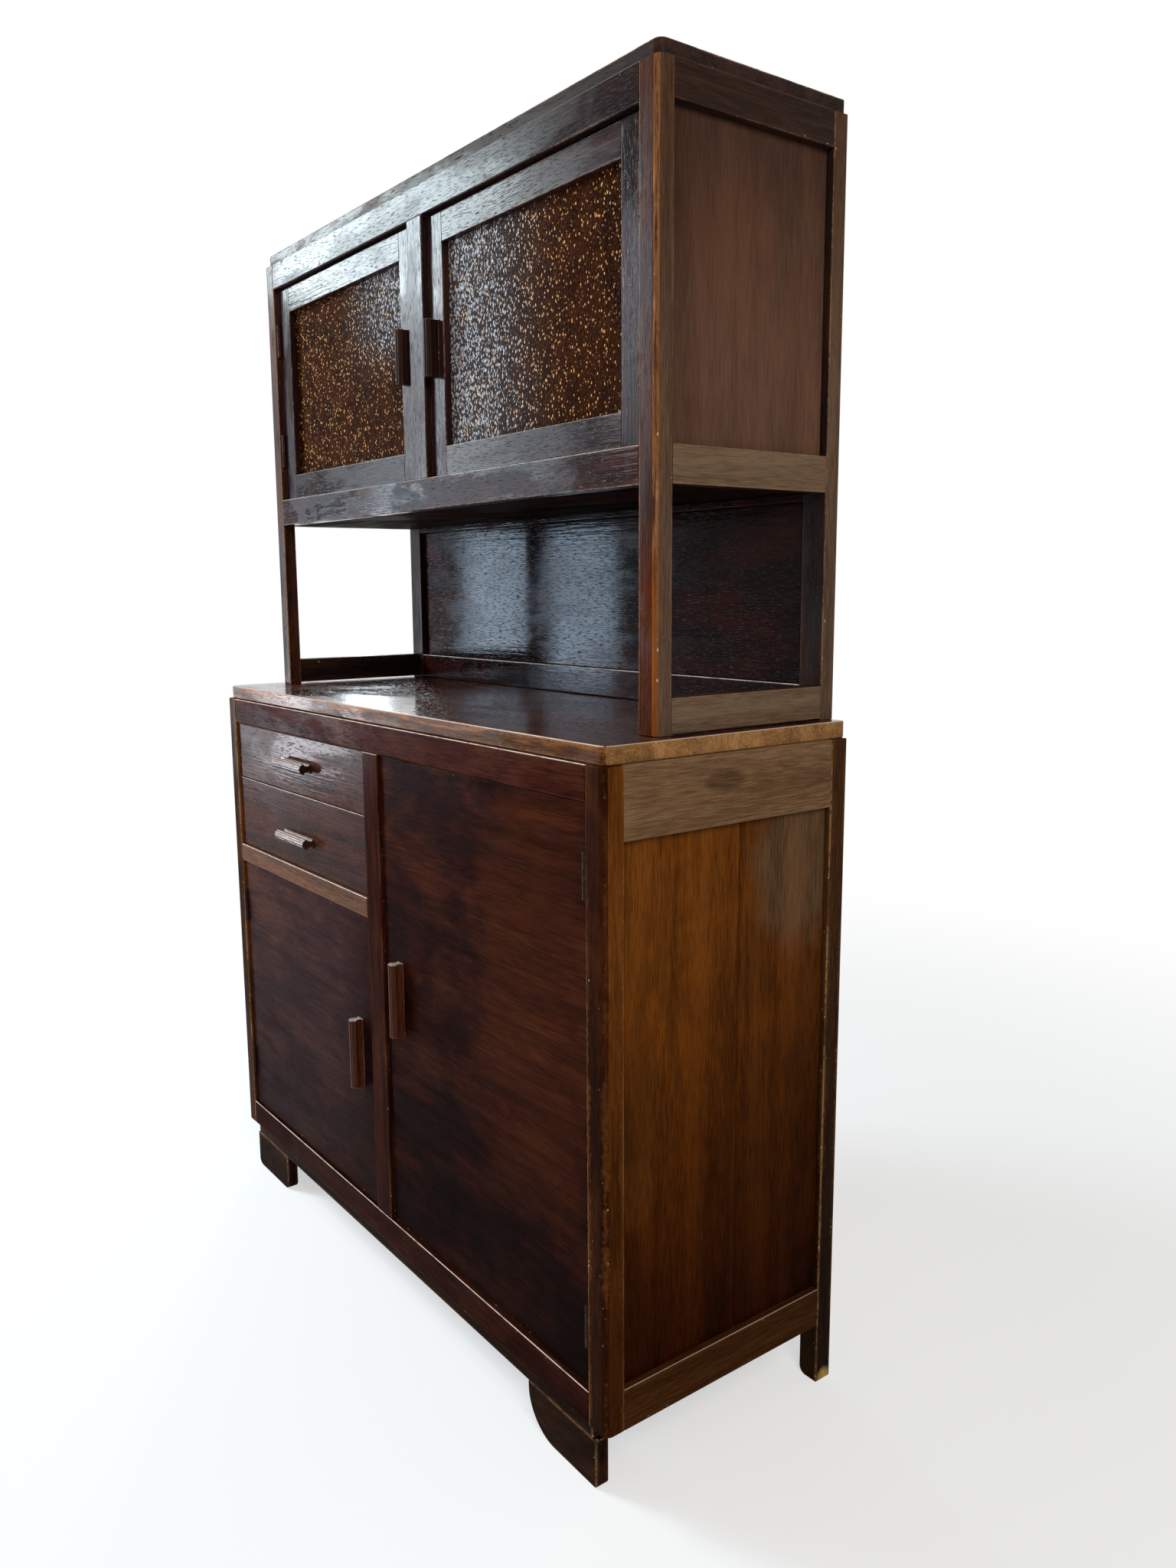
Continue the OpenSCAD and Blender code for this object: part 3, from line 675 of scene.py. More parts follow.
@dataclass(frozen=True)
class Varnish(Finish):
    """Brushed and worn varnish over stained wood.

    Attributes:
        dark: Colour of the dark fibres.
        light: Colour of the light fibres.
        warm: Colour of the warmer blotches.
        warmth: Strength of the warmer blotches.
        worn: Colour of the wood where the stain has gone at the arrises.
        line: Colour of the arrises themselves.
        reach: Width of the worn band in metres.
        wear: Strength of the wear, from 0 to 1.
        ledge_highlight_and_wear: Strength of the pale line along upper front arrises, partly painted
            highlight and partly rubbed wear.
        chips: Strength of the pale nicks near the arrises.
        smooth: Roughness where the film is polished.
        dull: Roughness where it is dull.
        gloss: Specular level of the film.
        fibre: Width of the fibres in metres.
        figure: Size of the figure in metres.
        contrast: Strength of the figure.
        patch: Size of the polished patches in metres.
        soft: Softness of their outlines; the lower, the crisper.
        flecks: Amount of small pale damage.
        relief: Depth of the brush marks in metres.
        fades: Slow changes across the cabinet; on the base some are painted shade and one a painted sheen.
        spots: Patches of another colour; one on the base's side is a painted sheen.
    """

    dark: Colour
    light: Colour
    warm: Colour = (0.075, 0.026, 0.008)
    warmth: float = 0.3
    worn: Colour = (0.20, 0.080, 0.026)
    line: Colour = (0.34, 0.17, 0.085)
    reach: float = 0.005
    wear: float = 0.3
    ledge_highlight_and_wear: float = 0.0
    chips: float = 0.3
    smooth: float = 0.16
    dull: float = 0.42
    gloss: float = 0.06
    fibre: float = 0.0022
    figure: float = 0.035
    contrast: float = 0.25
    patch: float = 0.16
    soft: float = 0.09
    flecks: float = 0.3
    relief: float = 0.0005
    fades: tuple[Fade, ...] = ()
    spots: tuple[Spot, ...] = ()

    def paint(self, w: Wiring, shader: bpy.types.Node) -> None:
        """Wires the varnish: stained wood, its wear, and the film over both.

        Args:
            w: Wiring of the material.
            shader: The material's shader.
        """
        place, shift = w.attribute("place"), w.attribute("shift")
        grown = w.vector("ADD", place, shift)
        grain = Groups.place(w, "grain", Place=grown, Fibre=self.fibre, Figure_size=self.figure).outputs
        edge = Groups.place(w, "wear", Place=place, Half=w.attribute("half"), Shift=shift, Reach=self.reach)
        film = Groups.place(w, "film", Place=grown, Patch_size=self.patch, Softness=self.soft,
                            Flecks_amount=self.flecks).outputs
        worn = w.times(edge.outputs["Wear"], self.wear)
        wood = self.stained(w, grown, grain)
        wood = self.rubbed(w, wood, grown, grain["Tone"], worn, edge.outputs)
        w.feed(shader.inputs["Base Color"], w.mix(w.times(film["Flecks"], FLECK_COVER), wood, FLECK))
        roughness = w.span(film["Polish"], 0.0, 1.0, self.dull, self.smooth)
        roughness = w.math("ADD", roughness, w.times(grain["Pores"], PORE_ROUGHNESS))
        w.feed(shader.inputs["Roughness"], w.math("ADD", roughness, w.times(worn, WEAR_ROUGHNESS)))
        shader.inputs["Specular IOR Level"].default_value = self.gloss
        height = w.math("SUBTRACT", film["Marks"], w.times(grain["Pores"], PORE_DEPTH))
        height = w.math("SUBTRACT", height, w.times(film["Flecks"], FLECK_DEPTH))
        w.raise_by(shader, height, self.relief, FILM_BUMP)

    def stained(self, w: Wiring, grown: Socket, grain: bpy.types.NodeOutputs) -> Socket:
        """Colours the stained wood, without its wear.

        Args:
            w: Wiring of the material.
            grown: Place in the board that the pattern reads.
            grain: The grain group's outputs.

        Returns:
            The colour.
        """
        tone = grain["Tone"]
        wood = w.mix(tone, self.dark, self.light)
        wood = w.mix(w.times(grain["Figure"], self.contrast), wood, self.dark)
        slow = w.noise(w.run(grown, BLOTCH_RUN), BLOTCH_SCALE, 4.0, 0.62, 0.4)
        blotch = w.span(slow, *BLOTCH_NOISE)
        warmth = w.span(tone, 0.0, 1.0, BLOTCH_ON_DARK * self.warmth, self.warmth)
        wood = w.mix(w.times(blotch, warmth), wood, self.warm)
        wood = w.mix(w.times(grain["Pores"], PORE_COVER), wood, self.dark)
        if not self.fades and not self.spots:
            return wood
        where = w.here()
        cloud = w.math("SUBTRACT", w.noise(where, CLOUD_SCALE, 4.0, 0.62), 0.5)
        for fade in self.fades:
            wood = fade.over(w, wood, where, cloud)
        for spot in self.spots:
            wood = spot.over(w, wood, where, cloud, tone)
        return wood

    def rubbed(self, w: Wiring, wood: Socket, grown: Socket, tone: Socket, worn: Socket,
               edge: bpy.types.NodeOutputs) -> Socket:
        """Lays the wear at the arrises over the stained wood, and the pale line of painted highlight and wear
        along upward-facing arrises.

        Args:
            w: Wiring of the material.
            wood: Colour of the stained wood.
            grown: Place in the board that the pattern reads.
            tone: Tone of the grain.
            worn: Strength of the worn band.
            edge: The wear group's outputs.

        Returns:
            The colour.
        """
        wood = w.mix(worn, wood, w.mix(w.span(tone, 0.0, 1.0, 0.0, WORN_DARK), self.worn, self.dark))
        wood = w.mix(w.times(edge["Line"], min(1.0, LINE_GAIN * self.wear)), wood, self.line)
        wood = w.mix(w.times(edge["Chips"], self.chips), wood, NICK)
        # Pale line along upward-facing arrises: partly painted highlight, partly rubbed wear.
        if self.ledge_highlight_and_wear:
            uneven = w.noise(grown, BREAK_SCALE, 3.0, 0.6)
            breaks = w.span(uneven, *BREAK_NOISE, BREAK_LEAST, self.ledge_highlight_and_wear)
            wood = w.mix(w.times(w.attribute("ledge_highlight_and_wear", "Fac"), breaks), wood, LEDGE_HIGHLIGHT_AND_WEAR)
        return wood


@dataclass(frozen=True)
class AmberGlass(Finish):
    """Amber glass with a small hammered relief, with painted glints on its raised points and a painted
    reflection in one field of each pane.

    Attributes:
        name: Name of the material.
        tint: Colour of the glass.
        painted_glint: Colour of the raised points, a painted highlight.
        pale: Colour of the raised points in the painted reflection fields, a painted reflection.
        painted_haze: Colour between those points there, a painted reflection.
        cell: Size of the relief's cells in metres.
        run: Factors along the three axes, which make the cells longer than wide.
        wander: How far the cells are pushed about, in metres.
        wander_scale: Copies in a cell of the noise that pushes them.
        relief: Depth of the relief in metres.
        sizes: Radius of the smallest and of the largest points, in cells.
        outline: Distances from a point's rim between which it ends, in cells.
        luck: Random values between which a cell's point comes out.
        faint: Strength of the faintest points.
        cloud_scale: Copies a metre of the clouds in the glass.
        cloud_tint: Factors of the tint in the light and in the dark clouds.
        right_reflection: Places along X between which the painted reflection field of the right pane ends.
        left_reflection: Places along X between which that of the left pane begins.
        left_rise: Heights between which that of the left pane begins.
        swell: Growth of the points in the painted reflection fields, in cells.
        crowd: Growth of their number there.
        painted_haze_share: Share of the painted grey veil there.
        cool_field: Values of the painted reflection fields between which their points turn pale.
        cool_luck: Random values between which a point turns pale at all.
        rough: Roughness of the relief and of the painted reflection fields.
        clear: Share of the light that goes through.
        bend: Index of refraction.
    """

    name: str = "amber_relief_glass"
    tint: Colour = (0.036, 0.0085, 0.0014)
    # Painted glints: the raised points' colour stands in for light glinting on the relief.
    painted_glint: Colour = (1.0, 0.50, 0.17)
    pale: Colour = (0.66, 0.68, 0.73)
    painted_haze: Colour = (0.082, 0.064, 0.058)
    cell: float = 0.0031
    run: Point = (1.0, 0.0, 0.58)
    wander: float = 0.003
    wander_scale: float = 0.5
    relief: float = 0.0022
    sizes: Range = (0.12, 0.36)
    outline: Range = (-0.04, 0.07)
    luck: Range = (0.30, 0.88)
    faint: float = 0.05
    cloud_scale: float = 34.0
    cloud_tint: Range = (1.5, 0.6)
    # Painted reflection fields: the window's reflection painted in as paler, larger, more numerous points
    # with a grey veil between.
    right_reflection: Range = (0.10, 0.38)
    left_reflection: Range = (-0.34, -0.10)
    left_rise: Range = (1.50, 1.64)
    swell: float = 0.20
    crowd: float = 0.50
    painted_haze_share: float = 0.85
    cool_field: Range = (0.0, 0.7)
    cool_luck: Range = (0.02, 0.16)
    rough: Range = (0.34, 0.10)
    clear: float = 0.35
    bend: float = 1.038

    def paint(self, w: Wiring, shader: bpy.types.Node) -> None:
        """Wires the glass.

        Args:
            w: Wiring of the material.
            shader: The material's shader.
        """
        where = w.here()
        bent = w.add("ShaderNodeTexNoise", noise_dimensions="3D")
        w.feed(bent.inputs["Vector"], where)
        bent.inputs["Scale"].default_value = self.wander_scale / self.cell
        push = w.vector("SUBTRACT", bent.outputs["Color"], (0.5, 0.5, 0.5))
        moved = w.vector("ADD", where, w.vector("MULTIPLY", push, (self.wander,) * 3))
        apart, chosen = w.cells(w.vector("MULTIPLY", moved, self.run), 1.0 / self.cell)
        # Painted reflection: in these fields the points turn pale and the glass between them grey.
        painted_reflection = self.painted_reflection_fields(w, where)
        size = w.math("ADD", w.span(chosen[0], 0.10, 1.0, *self.sizes), w.times(painted_reflection, self.swell))
        point = w.span(w.math("SUBTRACT", apart, size), *self.outline, 1.0, 0.0)
        chance = w.math("ADD", chosen[1], w.times(painted_reflection, self.crowd))
        point = w.times(point, w.span(chance, *self.luck, self.faint, 1.0))
        cloud = w.span(w.noise(where, self.cloud_scale, 3.0, 0.6), 0.3, 0.7)
        light, dark = (tuple(v * factor for v in self.tint) for factor in self.cloud_tint)
        body = w.mix(w.times(painted_reflection, self.painted_haze_share), w.mix(cloud, light, dark), self.painted_haze)
        cool = w.times(w.span(painted_reflection, *self.cool_field), w.span(chosen[2], *self.cool_luck))
        # Base colour: painted glints on the points, which turn to the paler painted reflection in its fields.
        w.feed(shader.inputs["Base Color"], w.mix(point, body, w.mix(cool, self.painted_glint, self.pale)))
        w.feed(shader.inputs["Roughness"], w.span(painted_reflection, 0.0, 1.0, *self.rough))
        shader.inputs["Transmission Weight"].default_value = self.clear
        shader.inputs["IOR"].default_value = self.bend
        w.raise_by(shader, w.times(apart, apart), self.relief, 1.0)

    def painted_reflection_fields(self, w: Wiring, where: Socket) -> Socket:
        """Finds the painted reflection fields, where the window's reflection is painted into the glass's
        colour.

        Args:
            w: Wiring of the material.
            where: Place on the cabinet.

        Returns:
            1 in the painted reflection fields, 0 outside.
        """
        across, _, up = w.split(where)
        right = w.times(w.math("GREATER_THAN", across, 0.0), w.span(across, *self.right_reflection, 1.0, 0.0))
        left = w.times(w.math("LESS_THAN", across, 0.0), w.span(across, *self.left_reflection))
        return w.math("MAXIMUM", right, w.times(left, w.span(up, *self.left_rise)))


@dataclass(frozen=True)
class OldBrass(Finish):
    """Brass gone dark, with some varnish brushed over it.

    Attributes:
        name: Name of the material.
        clean: Colour of the brass.
        dark: Colour where the varnish covers it.
        cloud_scale: Copies a metre of the clouds of varnish.
        cover: Noise values between which the varnish covers the brass.
        metal: Metallic share of the bare brass.
        rough: Roughness of the bare brass and of the covered.
        gloss: Specular level of both.
        pit_scale: Copies a metre of the pitting.
        pits: Strength of the pitting, from 0 to 1.
        relief: Depth of the pitting in metres.
    """

    name: str = "dark_brass"
    clean: Colour = (0.034, 0.015, 0.009)
    dark: Colour = (0.012, 0.005, 0.004)
    cloud_scale: float = 220.0
    cover: Range = (0.38, 0.66)
    metal: float = 0.5
    rough: Range = (0.42, 0.6)
    gloss: float = 0.05
    pit_scale: float = 700.0
    pits: float = 0.4
    relief: float = 0.0003

    def paint(self, w: Wiring, shader: bpy.types.Node) -> None:
        """Wires the brass.

        Args:
            w: Wiring of the material.
            shader: The material's shader.
        """
        where = w.here()
        cloud = w.span(w.noise(where, self.cloud_scale, 4.0, 0.6), *self.cover)
        w.feed(shader.inputs["Base Color"], w.mix(cloud, self.clean, self.dark))
        w.feed(shader.inputs["Metallic"], w.span(cloud, 0.0, 1.0, self.metal, 0.0))
        w.feed(shader.inputs["Roughness"], w.span(cloud, 0.0, 1.0, *self.rough))
        shader.inputs["Specular IOR Level"].default_value = self.gloss
        w.raise_by(shader, w.noise(where, self.pit_scale), self.relief, self.pits)


@dataclass(frozen=True)
class Accent:
    """Another finish on some faces of a board.

    Attributes:
        finish: The finish.
        faces: Faces that take it.
        level: Height in metres that parts the boards of two finishes.
    """

    finish: Varnish
    faces: Faces
    level: float = 0.0

    def takes(self, face: bmesh.types.BMFace, along: int) -> bool:
        """Whether a face takes the finish.

        Args:
            face: The face.
            along: Axis of the fibres.

        Returns:
            True where it does.
        """
        n, middle = face.normal, face.calc_center_median()
        tests = {
            Faces.SIDES: abs(n.x) > FACING_WELL,
            Faces.CORNER: CORNER_LEAST < abs(n.x) < CORNER_MOST and n.y < CORNER_FRONT,
            Faces.OUTER: n.x * middle.x > 0.0 and abs(n.x) > FACING,
            Faces.RIM: abs(n.z) < FACING,
            Faces.ENDS: abs(n[along]) > FACING,
            Faces.BELOW: middle.z < self.level,
            Faces.ABOVE: middle.z > self.level,
        }
        return tests[self.faces]


@dataclass
class Board:
    """One node of boards, rebuilt with eased arrises and dressed.

    Attributes:
        node: Name of the node that it stands for.
        body: Body that it rides on.
        fibres: Axis that its fibres follow.
        finish: Main finish.
        slot: Material slot in the record; not used.
        accents: Other finishes of some faces; a later one goes over an earlier one.
        free_ends: Whether its ends lie open, so that they wear too.
        arris: Radius of the eased arrises in metres.
        steps: Segments of an eased arris.
    """

    node: str
    body: str
    fibres: Fibres
    finish: Varnish
    slot: str
    accents: tuple[Accent, ...] = ()
    free_ends: bool = False
    arris: float = 0.0010
    steps: int = 2

    def build(self, frame: dict) -> None:
        """Builds the piece from the node's own shape, and reports it.

        Args:
            frame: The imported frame.
        """
        bm = bmesh.new()
        bm.from_mesh(frame["nodes"][self.node].data)
        bmesh.ops.remove_doubles(bm, verts=bm.verts, dist=MERGE_DISTANCE)
        bmesh.ops.dissolve_limit(bm, angle_limit=FLAT_ANGLE, verts=bm.verts, edges=bm.edges)
        self.ease(bm)
        self.mark(bm)
        mesh = bpy.data.meshes.new(f"{self.node}_finished")
        bm.to_mesh(mesh)
        bm.free()
        mesh.materials.append(self.finish.material())
        for accent in self.accents:
            mesh.materials.append(accent.finish.material())
        mesh.shade_smooth()
        mesh.set_sharp_from_angle(angle=SMOOTH_ANGLE)
        piece = bpy.data.objects.new(mesh.name, mesh)
        bpy.context.scene.collection.objects.link(piece)
        even = piece.modifiers.new("even_normals", "WEIGHTED_NORMAL")
        even.keep_sharp = True
        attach(piece, self.body)
        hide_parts(self.node)
        LOG.info("%s: %d faces, rides on %s", piece.name, len(mesh.polygons), self.body)

    def ease(self, bm: bmesh.types.BMesh) -> None:
        """Rounds the sharp outer edges a little, as a plane or sandpaper leaves them.

        Args:
            bm: Mesh of the boards.
        """
        sharp = [e for e in bm.edges if len(e.link_faces) == 2 and e.is_convex
                 and e.calc_face_angle(0.0) > ARRIS_ANGLE]
        bmesh.ops.bevel(bm, geom=sharp, offset=self.arris, segments=self.steps, profile=0.5,
                        affect="EDGES", clamp_overlap=True, material=-1)

    def mark(self, bm: bmesh.types.BMesh) -> None:
        """Writes each board's own place, half sizes and grain shift, marks the upward-facing arrises that
        take the pale line of painted highlight and wear, and picks its faces' finish.

        Args:
            bm: Mesh of the boards.
        """
        place = bm.verts.layers.float_vector.new("place")
        half = bm.verts.layers.float_vector.new("half")
        shift = bm.verts.layers.float_vector.new("shift")
        ledge_highlight_and_wear = bm.verts.layers.float.new("ledge_highlight_and_wear")
        order = self.fibres.value
        seed = random.Random(self.node)
        for board in islands(bm):
            low = Vector([min(v.co[i] for v in board) for i in range(3)])
            high = Vector([max(v.co[i] for v in board) for i in range(3)])
            middle, size = (low + high) / 2, (high - low) / 2
            reach = [size[i] for i in order]
            if not self.free_ends:
                reach[2] += HIDDEN_END
            moved = Vector([seed.uniform(-GRAIN_SPREAD, GRAIN_SPREAD) for _ in range(3)])
            for v in board:
                apart = v.co - middle
                v[place] = Vector([apart[i] for i in order])
                v[half] = Vector(reach)
                v[shift] = moved
                # Vertices that face up and to the front or side take the pale line of painted highlight and
                # wear.
                level = max(-v.normal.y, abs(v.normal.x))
                v[ledge_highlight_and_wear] = 1.0 if min(level, v.normal.z) > LEDGE_FACING else 0.0
        for face in bm.faces:
            for index, accent in enumerate(self.accents, start=1):
                if accent.takes(face, order[2]):
                    face.material_index = index


def islands(bm: bmesh.types.BMesh) -> list[list[bmesh.types.BMVert]]:
    """Groups of vertices that edges join.

    Args:
        bm: Mesh of one or more separate boards.

    Returns:
        The vertices of each board.
    """
    left = set(bm.verts)
    found = []
    for start in bm.verts:
        if start not in left:
            continue
        left.discard(start)
        group, waiting = [start], [start]
        while waiting:
            vert = waiting.pop()
            for link in vert.link_edges:
                other = link.other_vert(vert)
                if other in left:
                    left.discard(other)
                    group.append(other)
                    waiting.append(other)
        found.append(group)
    return found


def dress(frame: dict, node: str, finish: Finish) -> None:
    """Gives a node that stays a finish, and reports it.

    Args:
        frame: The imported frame.
        node: Name of the node.
        finish: Finish to give it.
    """
    mesh = frame["nodes"][node].data
    mesh.materials.clear()
    mesh.materials.append(finish.material())
    LOG.info("%s: dressed as %s", node, finish.name)


# Front and sides of the hutch.
# Its pale line colour along the arrises is partly rubbed wear and partly a painted highlight.
HUTCH_FRONT = Varnish("hutch_front_varnish", (0.0065, 0.0030, 0.0034), (0.024, 0.0095, 0.0092),
                      warm=(0.050, 0.016, 0.011), warmth=0.5, line=(0.42, 0.33, 0.29), reach=0.004,
                      wear=0.15, ledge_highlight_and_wear=0.8, smooth=0.10, dull=0.26, gloss=0.045, fibre=0.0028,
                      patch=0.11, relief=0.0009)
# Rounded corners of the hutch's front posts: orange partly from wear and partly a painted highlight streak.
HUTCH_EDGE = Varnish("hutch_post_varnish", (0.040, 0.0125, 0.0048), (0.42, 0.185, 0.080),
                     warm=(0.23, 0.085, 0.022), warmth=0.6, worn=(0.24, 0.095, 0.030), reach=0.010,
                     wear=0.75, chips=1.0, smooth=0.2, gloss=0.025, figure=0.012, contrast=0.5,
                     flecks=0.9, relief=0.0008,
                     spots=(Spot((0.565, -0.10, 1.02), (0.08, 0.08, 0.22), (0.24, 0.058, 0.007), 0.85),))
HUTCH_POST = Varnish("hutch_post_front_varnish", (0.0110, 0.0048, 0.0040), (0.052, 0.0185, 0.0125),
                     warm=(0.095, 0.026, 0.009), warmth=0.6, reach=0.004, wear=0.25, chips=1.0,
                     smooth=0.14, dull=0.32, gloss=0.032, patch=0.10, flecks=0.8, relief=0.0009,
                     spots=(Spot((0.565, -0.10, 1.02), (0.08, 0.08, 0.26), (0.088, 0.0160, 0.0006), 1.0),))
HUTCH_POST_SIDE = Varnish("hutch_post_side_varnish", (0.052, 0.030, 0.019), (0.120, 0.074, 0.046),
                          warm=(0.13, 0.062, 0.028), warmth=0.3, line=(0.30, 0.19, 0.10), reach=0.004,
                          wear=0.3, chips=0.5, gloss=0.01, contrast=0.12,
                          fades=(Fade(2, 1.80, 1.30, (0.62, 0.52, 0.48)),))
NICHE_POST = Varnish("niche_post_varnish", (0.0080, 0.0042, 0.0038), (0.024, 0.0120, 0.0095), wear=0.1,
                     chips=0.2, gloss=0.03)
HUTCH_FLANK = Varnish("hutch_side_varnish", (0.068, 0.035, 0.023), (0.112, 0.059, 0.038),
                      warm=(0.135, 0.055, 0.028), warmth=0.6, wear=0.0, chips=0.1, gloss=0.01,
                      fibre=0.0030, contrast=0.10,
                      fades=(Fade(2, 1.80, 1.42, (0.50, 0.46, 0.46)),
                             Fade(1, -0.09, 0.04, (0.80, 0.74, 0.72))))
HUTCH_RAIL = Varnish("hutch_side_rail_varnish", (0.070, 0.042, 0.025), (0.150, 0.097, 0.058),
                     warm=(0.15, 0.085, 0.042), warmth=0.2, line=(0.30, 0.21, 0.13), wear=0.15,
                     gloss=0.02, contrast=0.12)
HUTCH_TOP_FLANK = Varnish("hutch_top_rail_varnish", (0.014, 0.008, 0.006), (0.036, 0.018, 0.013),
                          wear=0.1, gloss=0.02)
# Its pale line colour along the arrises is partly rubbed wear and partly a painted highlight.
CAP = Varnish("cap_varnish", (0.010, 0.0055, 0.0048), (0.036, 0.019, 0.014), warmth=0.3,
              worn=(0.10, 0.055, 0.03), line=(0.55, 0.44, 0.38), reach=0.004, wear=0.5, chips=0.4,
              gloss=0.03)

# The niche and the rail over it.
NICHE = Varnish("niche_varnish", (0.0050, 0.0024, 0.0022), (0.014, 0.0058, 0.0046),
                warm=(0.036, 0.006, 0.0045), warmth=0.8, wear=0.0, ledge_highlight_and_wear=1.0, chips=0.3, smooth=0.05,
                dull=0.13, gloss=0.032, patch=0.10, soft=0.12, flecks=0.7, relief=0.0007)
NICHE_PANEL = replace(NICHE, name="niche_panel_varnish", ledge_highlight_and_wear=0.0)
# Its pale line colour along the arrises is partly rubbed wear and partly a painted highlight.
MID_RAIL = Varnish("mid_rail_varnish", (0.0065, 0.0030, 0.0034), (0.026, 0.0095, 0.0090),
                   warm=(0.062, 0.018, 0.012), warmth=0.7, line=(0.42, 0.33, 0.29), reach=0.004,
                   wear=0.25, ledge_highlight_and_wear=0.9, smooth=0.09, dull=0.40, gloss=0.045, fibre=0.0028, patch=0.11,
                   soft=0.04, relief=0.0009)
CEILING = Varnish("niche_ceiling_varnish", (0.0045, 0.0022, 0.0020), (0.012, 0.0050, 0.0040), wear=0.0,
                  smooth=0.45, dull=0.65, gloss=0.004)

# The table top.
TABLE = Varnish("table_varnish", (0.016, 0.0050, 0.0036), (0.080, 0.024, 0.0115),
                warm=(0.120, 0.034, 0.013), warmth=0.5, reach=0.006, wear=0.5, ledge_highlight_and_wear=0.8, smooth=0.07,
                dull=0.20, gloss=0.42, contrast=0.3, patch=0.12)
TABLE_SIDE = Varnish("table_side_varnish", (0.125, 0.057, 0.019), (0.36, 0.182, 0.068), warmth=0.2,
                     worn=(0.34, 0.20, 0.10), reach=0.005, wear=0.3, ledge_highlight_and_wear=0.5, gloss=0.02)
TABLE_EDGE = Varnish("table_edge_varnish", (0.030, 0.0090, 0.0030), (0.36, 0.125, 0.024), warmth=0.2,
                     worn=(0.34, 0.15, 0.05), reach=0.005, wear=0.6, ledge_highlight_and_wear=1.0, chips=0.8, gloss=0.045,
                     contrast=0.7)

# Front and sides of the base. Their fades along Z are painted shade, darker towards the bottom.
BASE_FRONT = Varnish("base_front_varnish", (0.0070, 0.0017, 0.0016), (0.0200, 0.0042, 0.0032),
                     warm=(0.092, 0.0210, 0.0066), warmth=0.46, wear=0.06, chips=0.6, gloss=0.006,
                     fibre=0.003, figure=0.02, contrast=0.35, patch=0.22, flecks=1.0, relief=0.0006,
                     fades=(Fade(2, 0.12, 0.75, (0.38, 0.34, 0.37)),
                            # Painted cool sheen: the left door is lighter and bluer towards its left, where
                            # the window's reflection falls.
                            Fade(0, -0.22, 0.02, (2.1, 3.8, 4.8))),
                     spots=(Spot((0.45, -0.20, 0.66), (0.16, 0.1, 0.38), (0.092, 0.0215, 0.0050), 0.36),))
LEFT_FRONT = replace(BASE_FRONT, name="left_front_varnish", dark=(0.0100, 0.0025, 0.0023),
                     light=(0.0240, 0.0052, 0.0040), warm=(0.075, 0.0165, 0.0052), warmth=0.28,
                     contrast=0.2)
BASE_RED = Varnish("base_rail_varnish", (0.010, 0.0021, 0.0014), (0.046, 0.0082, 0.0040),
                   warm=(0.085, 0.024, 0.010), warmth=0.5, wear=0.10, ledge_highlight_and_wear=1.0, gloss=0.005,
                   fibre=0.0036, patch=0.2, flecks=0.7, relief=0.0006,
                   fades=(Fade(2, 0.10, 0.60, (0.62, 0.60, 0.60)),))
DRAWER_RED = Varnish("drawer_front_varnish", (0.011, 0.0032, 0.0027), (0.052, 0.0135, 0.0090),
                     warm=(0.075, 0.020, 0.010), warmth=0.5, wear=0.08, ledge_highlight_and_wear=0.9, smooth=0.12,
                     dull=0.30, gloss=0.030, fibre=0.0036, contrast=0.4, patch=0.14, flecks=0.7,
                     relief=0.0007)
BASE_TAN = Varnish("drawer_rail_varnish", (0.044, 0.0175, 0.0090), (0.160, 0.064, 0.029),
                   warm=(0.16, 0.07, 0.03), warmth=0.3, reach=0.006, wear=0.35, ledge_highlight_and_wear=0.9, gloss=0.03)
BASE_POST = Varnish("base_post_varnish", (0.0090, 0.0024, 0.0013), (0.032, 0.0074, 0.0027),
                    warm=(0.085, 0.024, 0.0055), warmth=0.65, worn=(0.17, 0.055, 0.013), reach=0.009,
                    wear=0.55, chips=1.0, gloss=0.007, flecks=0.9,
                    fades=(Fade(2, 0.10, 0.60, (0.60, 0.60, 0.60)),))
BASE_POST_FLANK = Varnish("base_post_side_varnish", (0.042, 0.0120, 0.0022), (0.128, 0.0370, 0.0052),
                          warm=(0.17, 0.060, 0.010), warmth=0.4, worn=(0.20, 0.080, 0.019), reach=0.008,
                          wear=0.35, chips=0.8, gloss=0.006,
                          fades=(Fade(2, 0.10, 0.80, (0.36, 0.32, 0.34)),))
BACK_POST = Varnish("back_post_varnish", (0.020, 0.0075, 0.0028), (0.075, 0.030, 0.0100),
                    worn=(0.17, 0.080, 0.022), reach=0.006, wear=0.4, chips=0.6, gloss=0.01,
                    fades=(Fade(2, 0.10, 0.80, (0.32, 0.30, 0.34)),),
                    spots=(Spot((0.600, 0.212, 0.0), (0.02, 0.016, 0.020), (0.55, 0.36, 0.10), 0.95),))
BASE_SIDE = Varnish("base_side_varnish", (0.048, 0.0130, 0.0018), (0.150, 0.0470, 0.0072),
                    warm=(0.195, 0.055, 0.0055), warmth=0.70, wear=0.0, chips=0.0, gloss=0.005,
                    figure=0.05, contrast=0.30,
                    fades=(Fade(2, 0.10, 0.92, (0.20, 0.125, 0.10)),
                           # Painted shade: darker and bluer towards the back.
                           Fade(1, 0.26, -0.12, (0.62, 0.62, 0.80))),
                    # The first spot is a painted grey sheen high up towards the back.
                    spots=(Spot((0.59, 0.13, 0.80), (0.05, 0.10, 0.13), (0.120, 0.080, 0.045), 0.55),
                           Spot((0.59, -0.150, 0.50), (0.05, 0.045, 0.10), (0.060, 0.020, 0.004), 0.5),
                           Spot((0.59, -0.145, 0.41), (0.05, 0.035, 0.05), (0.090, 0.026, 0.004), 0.7)))
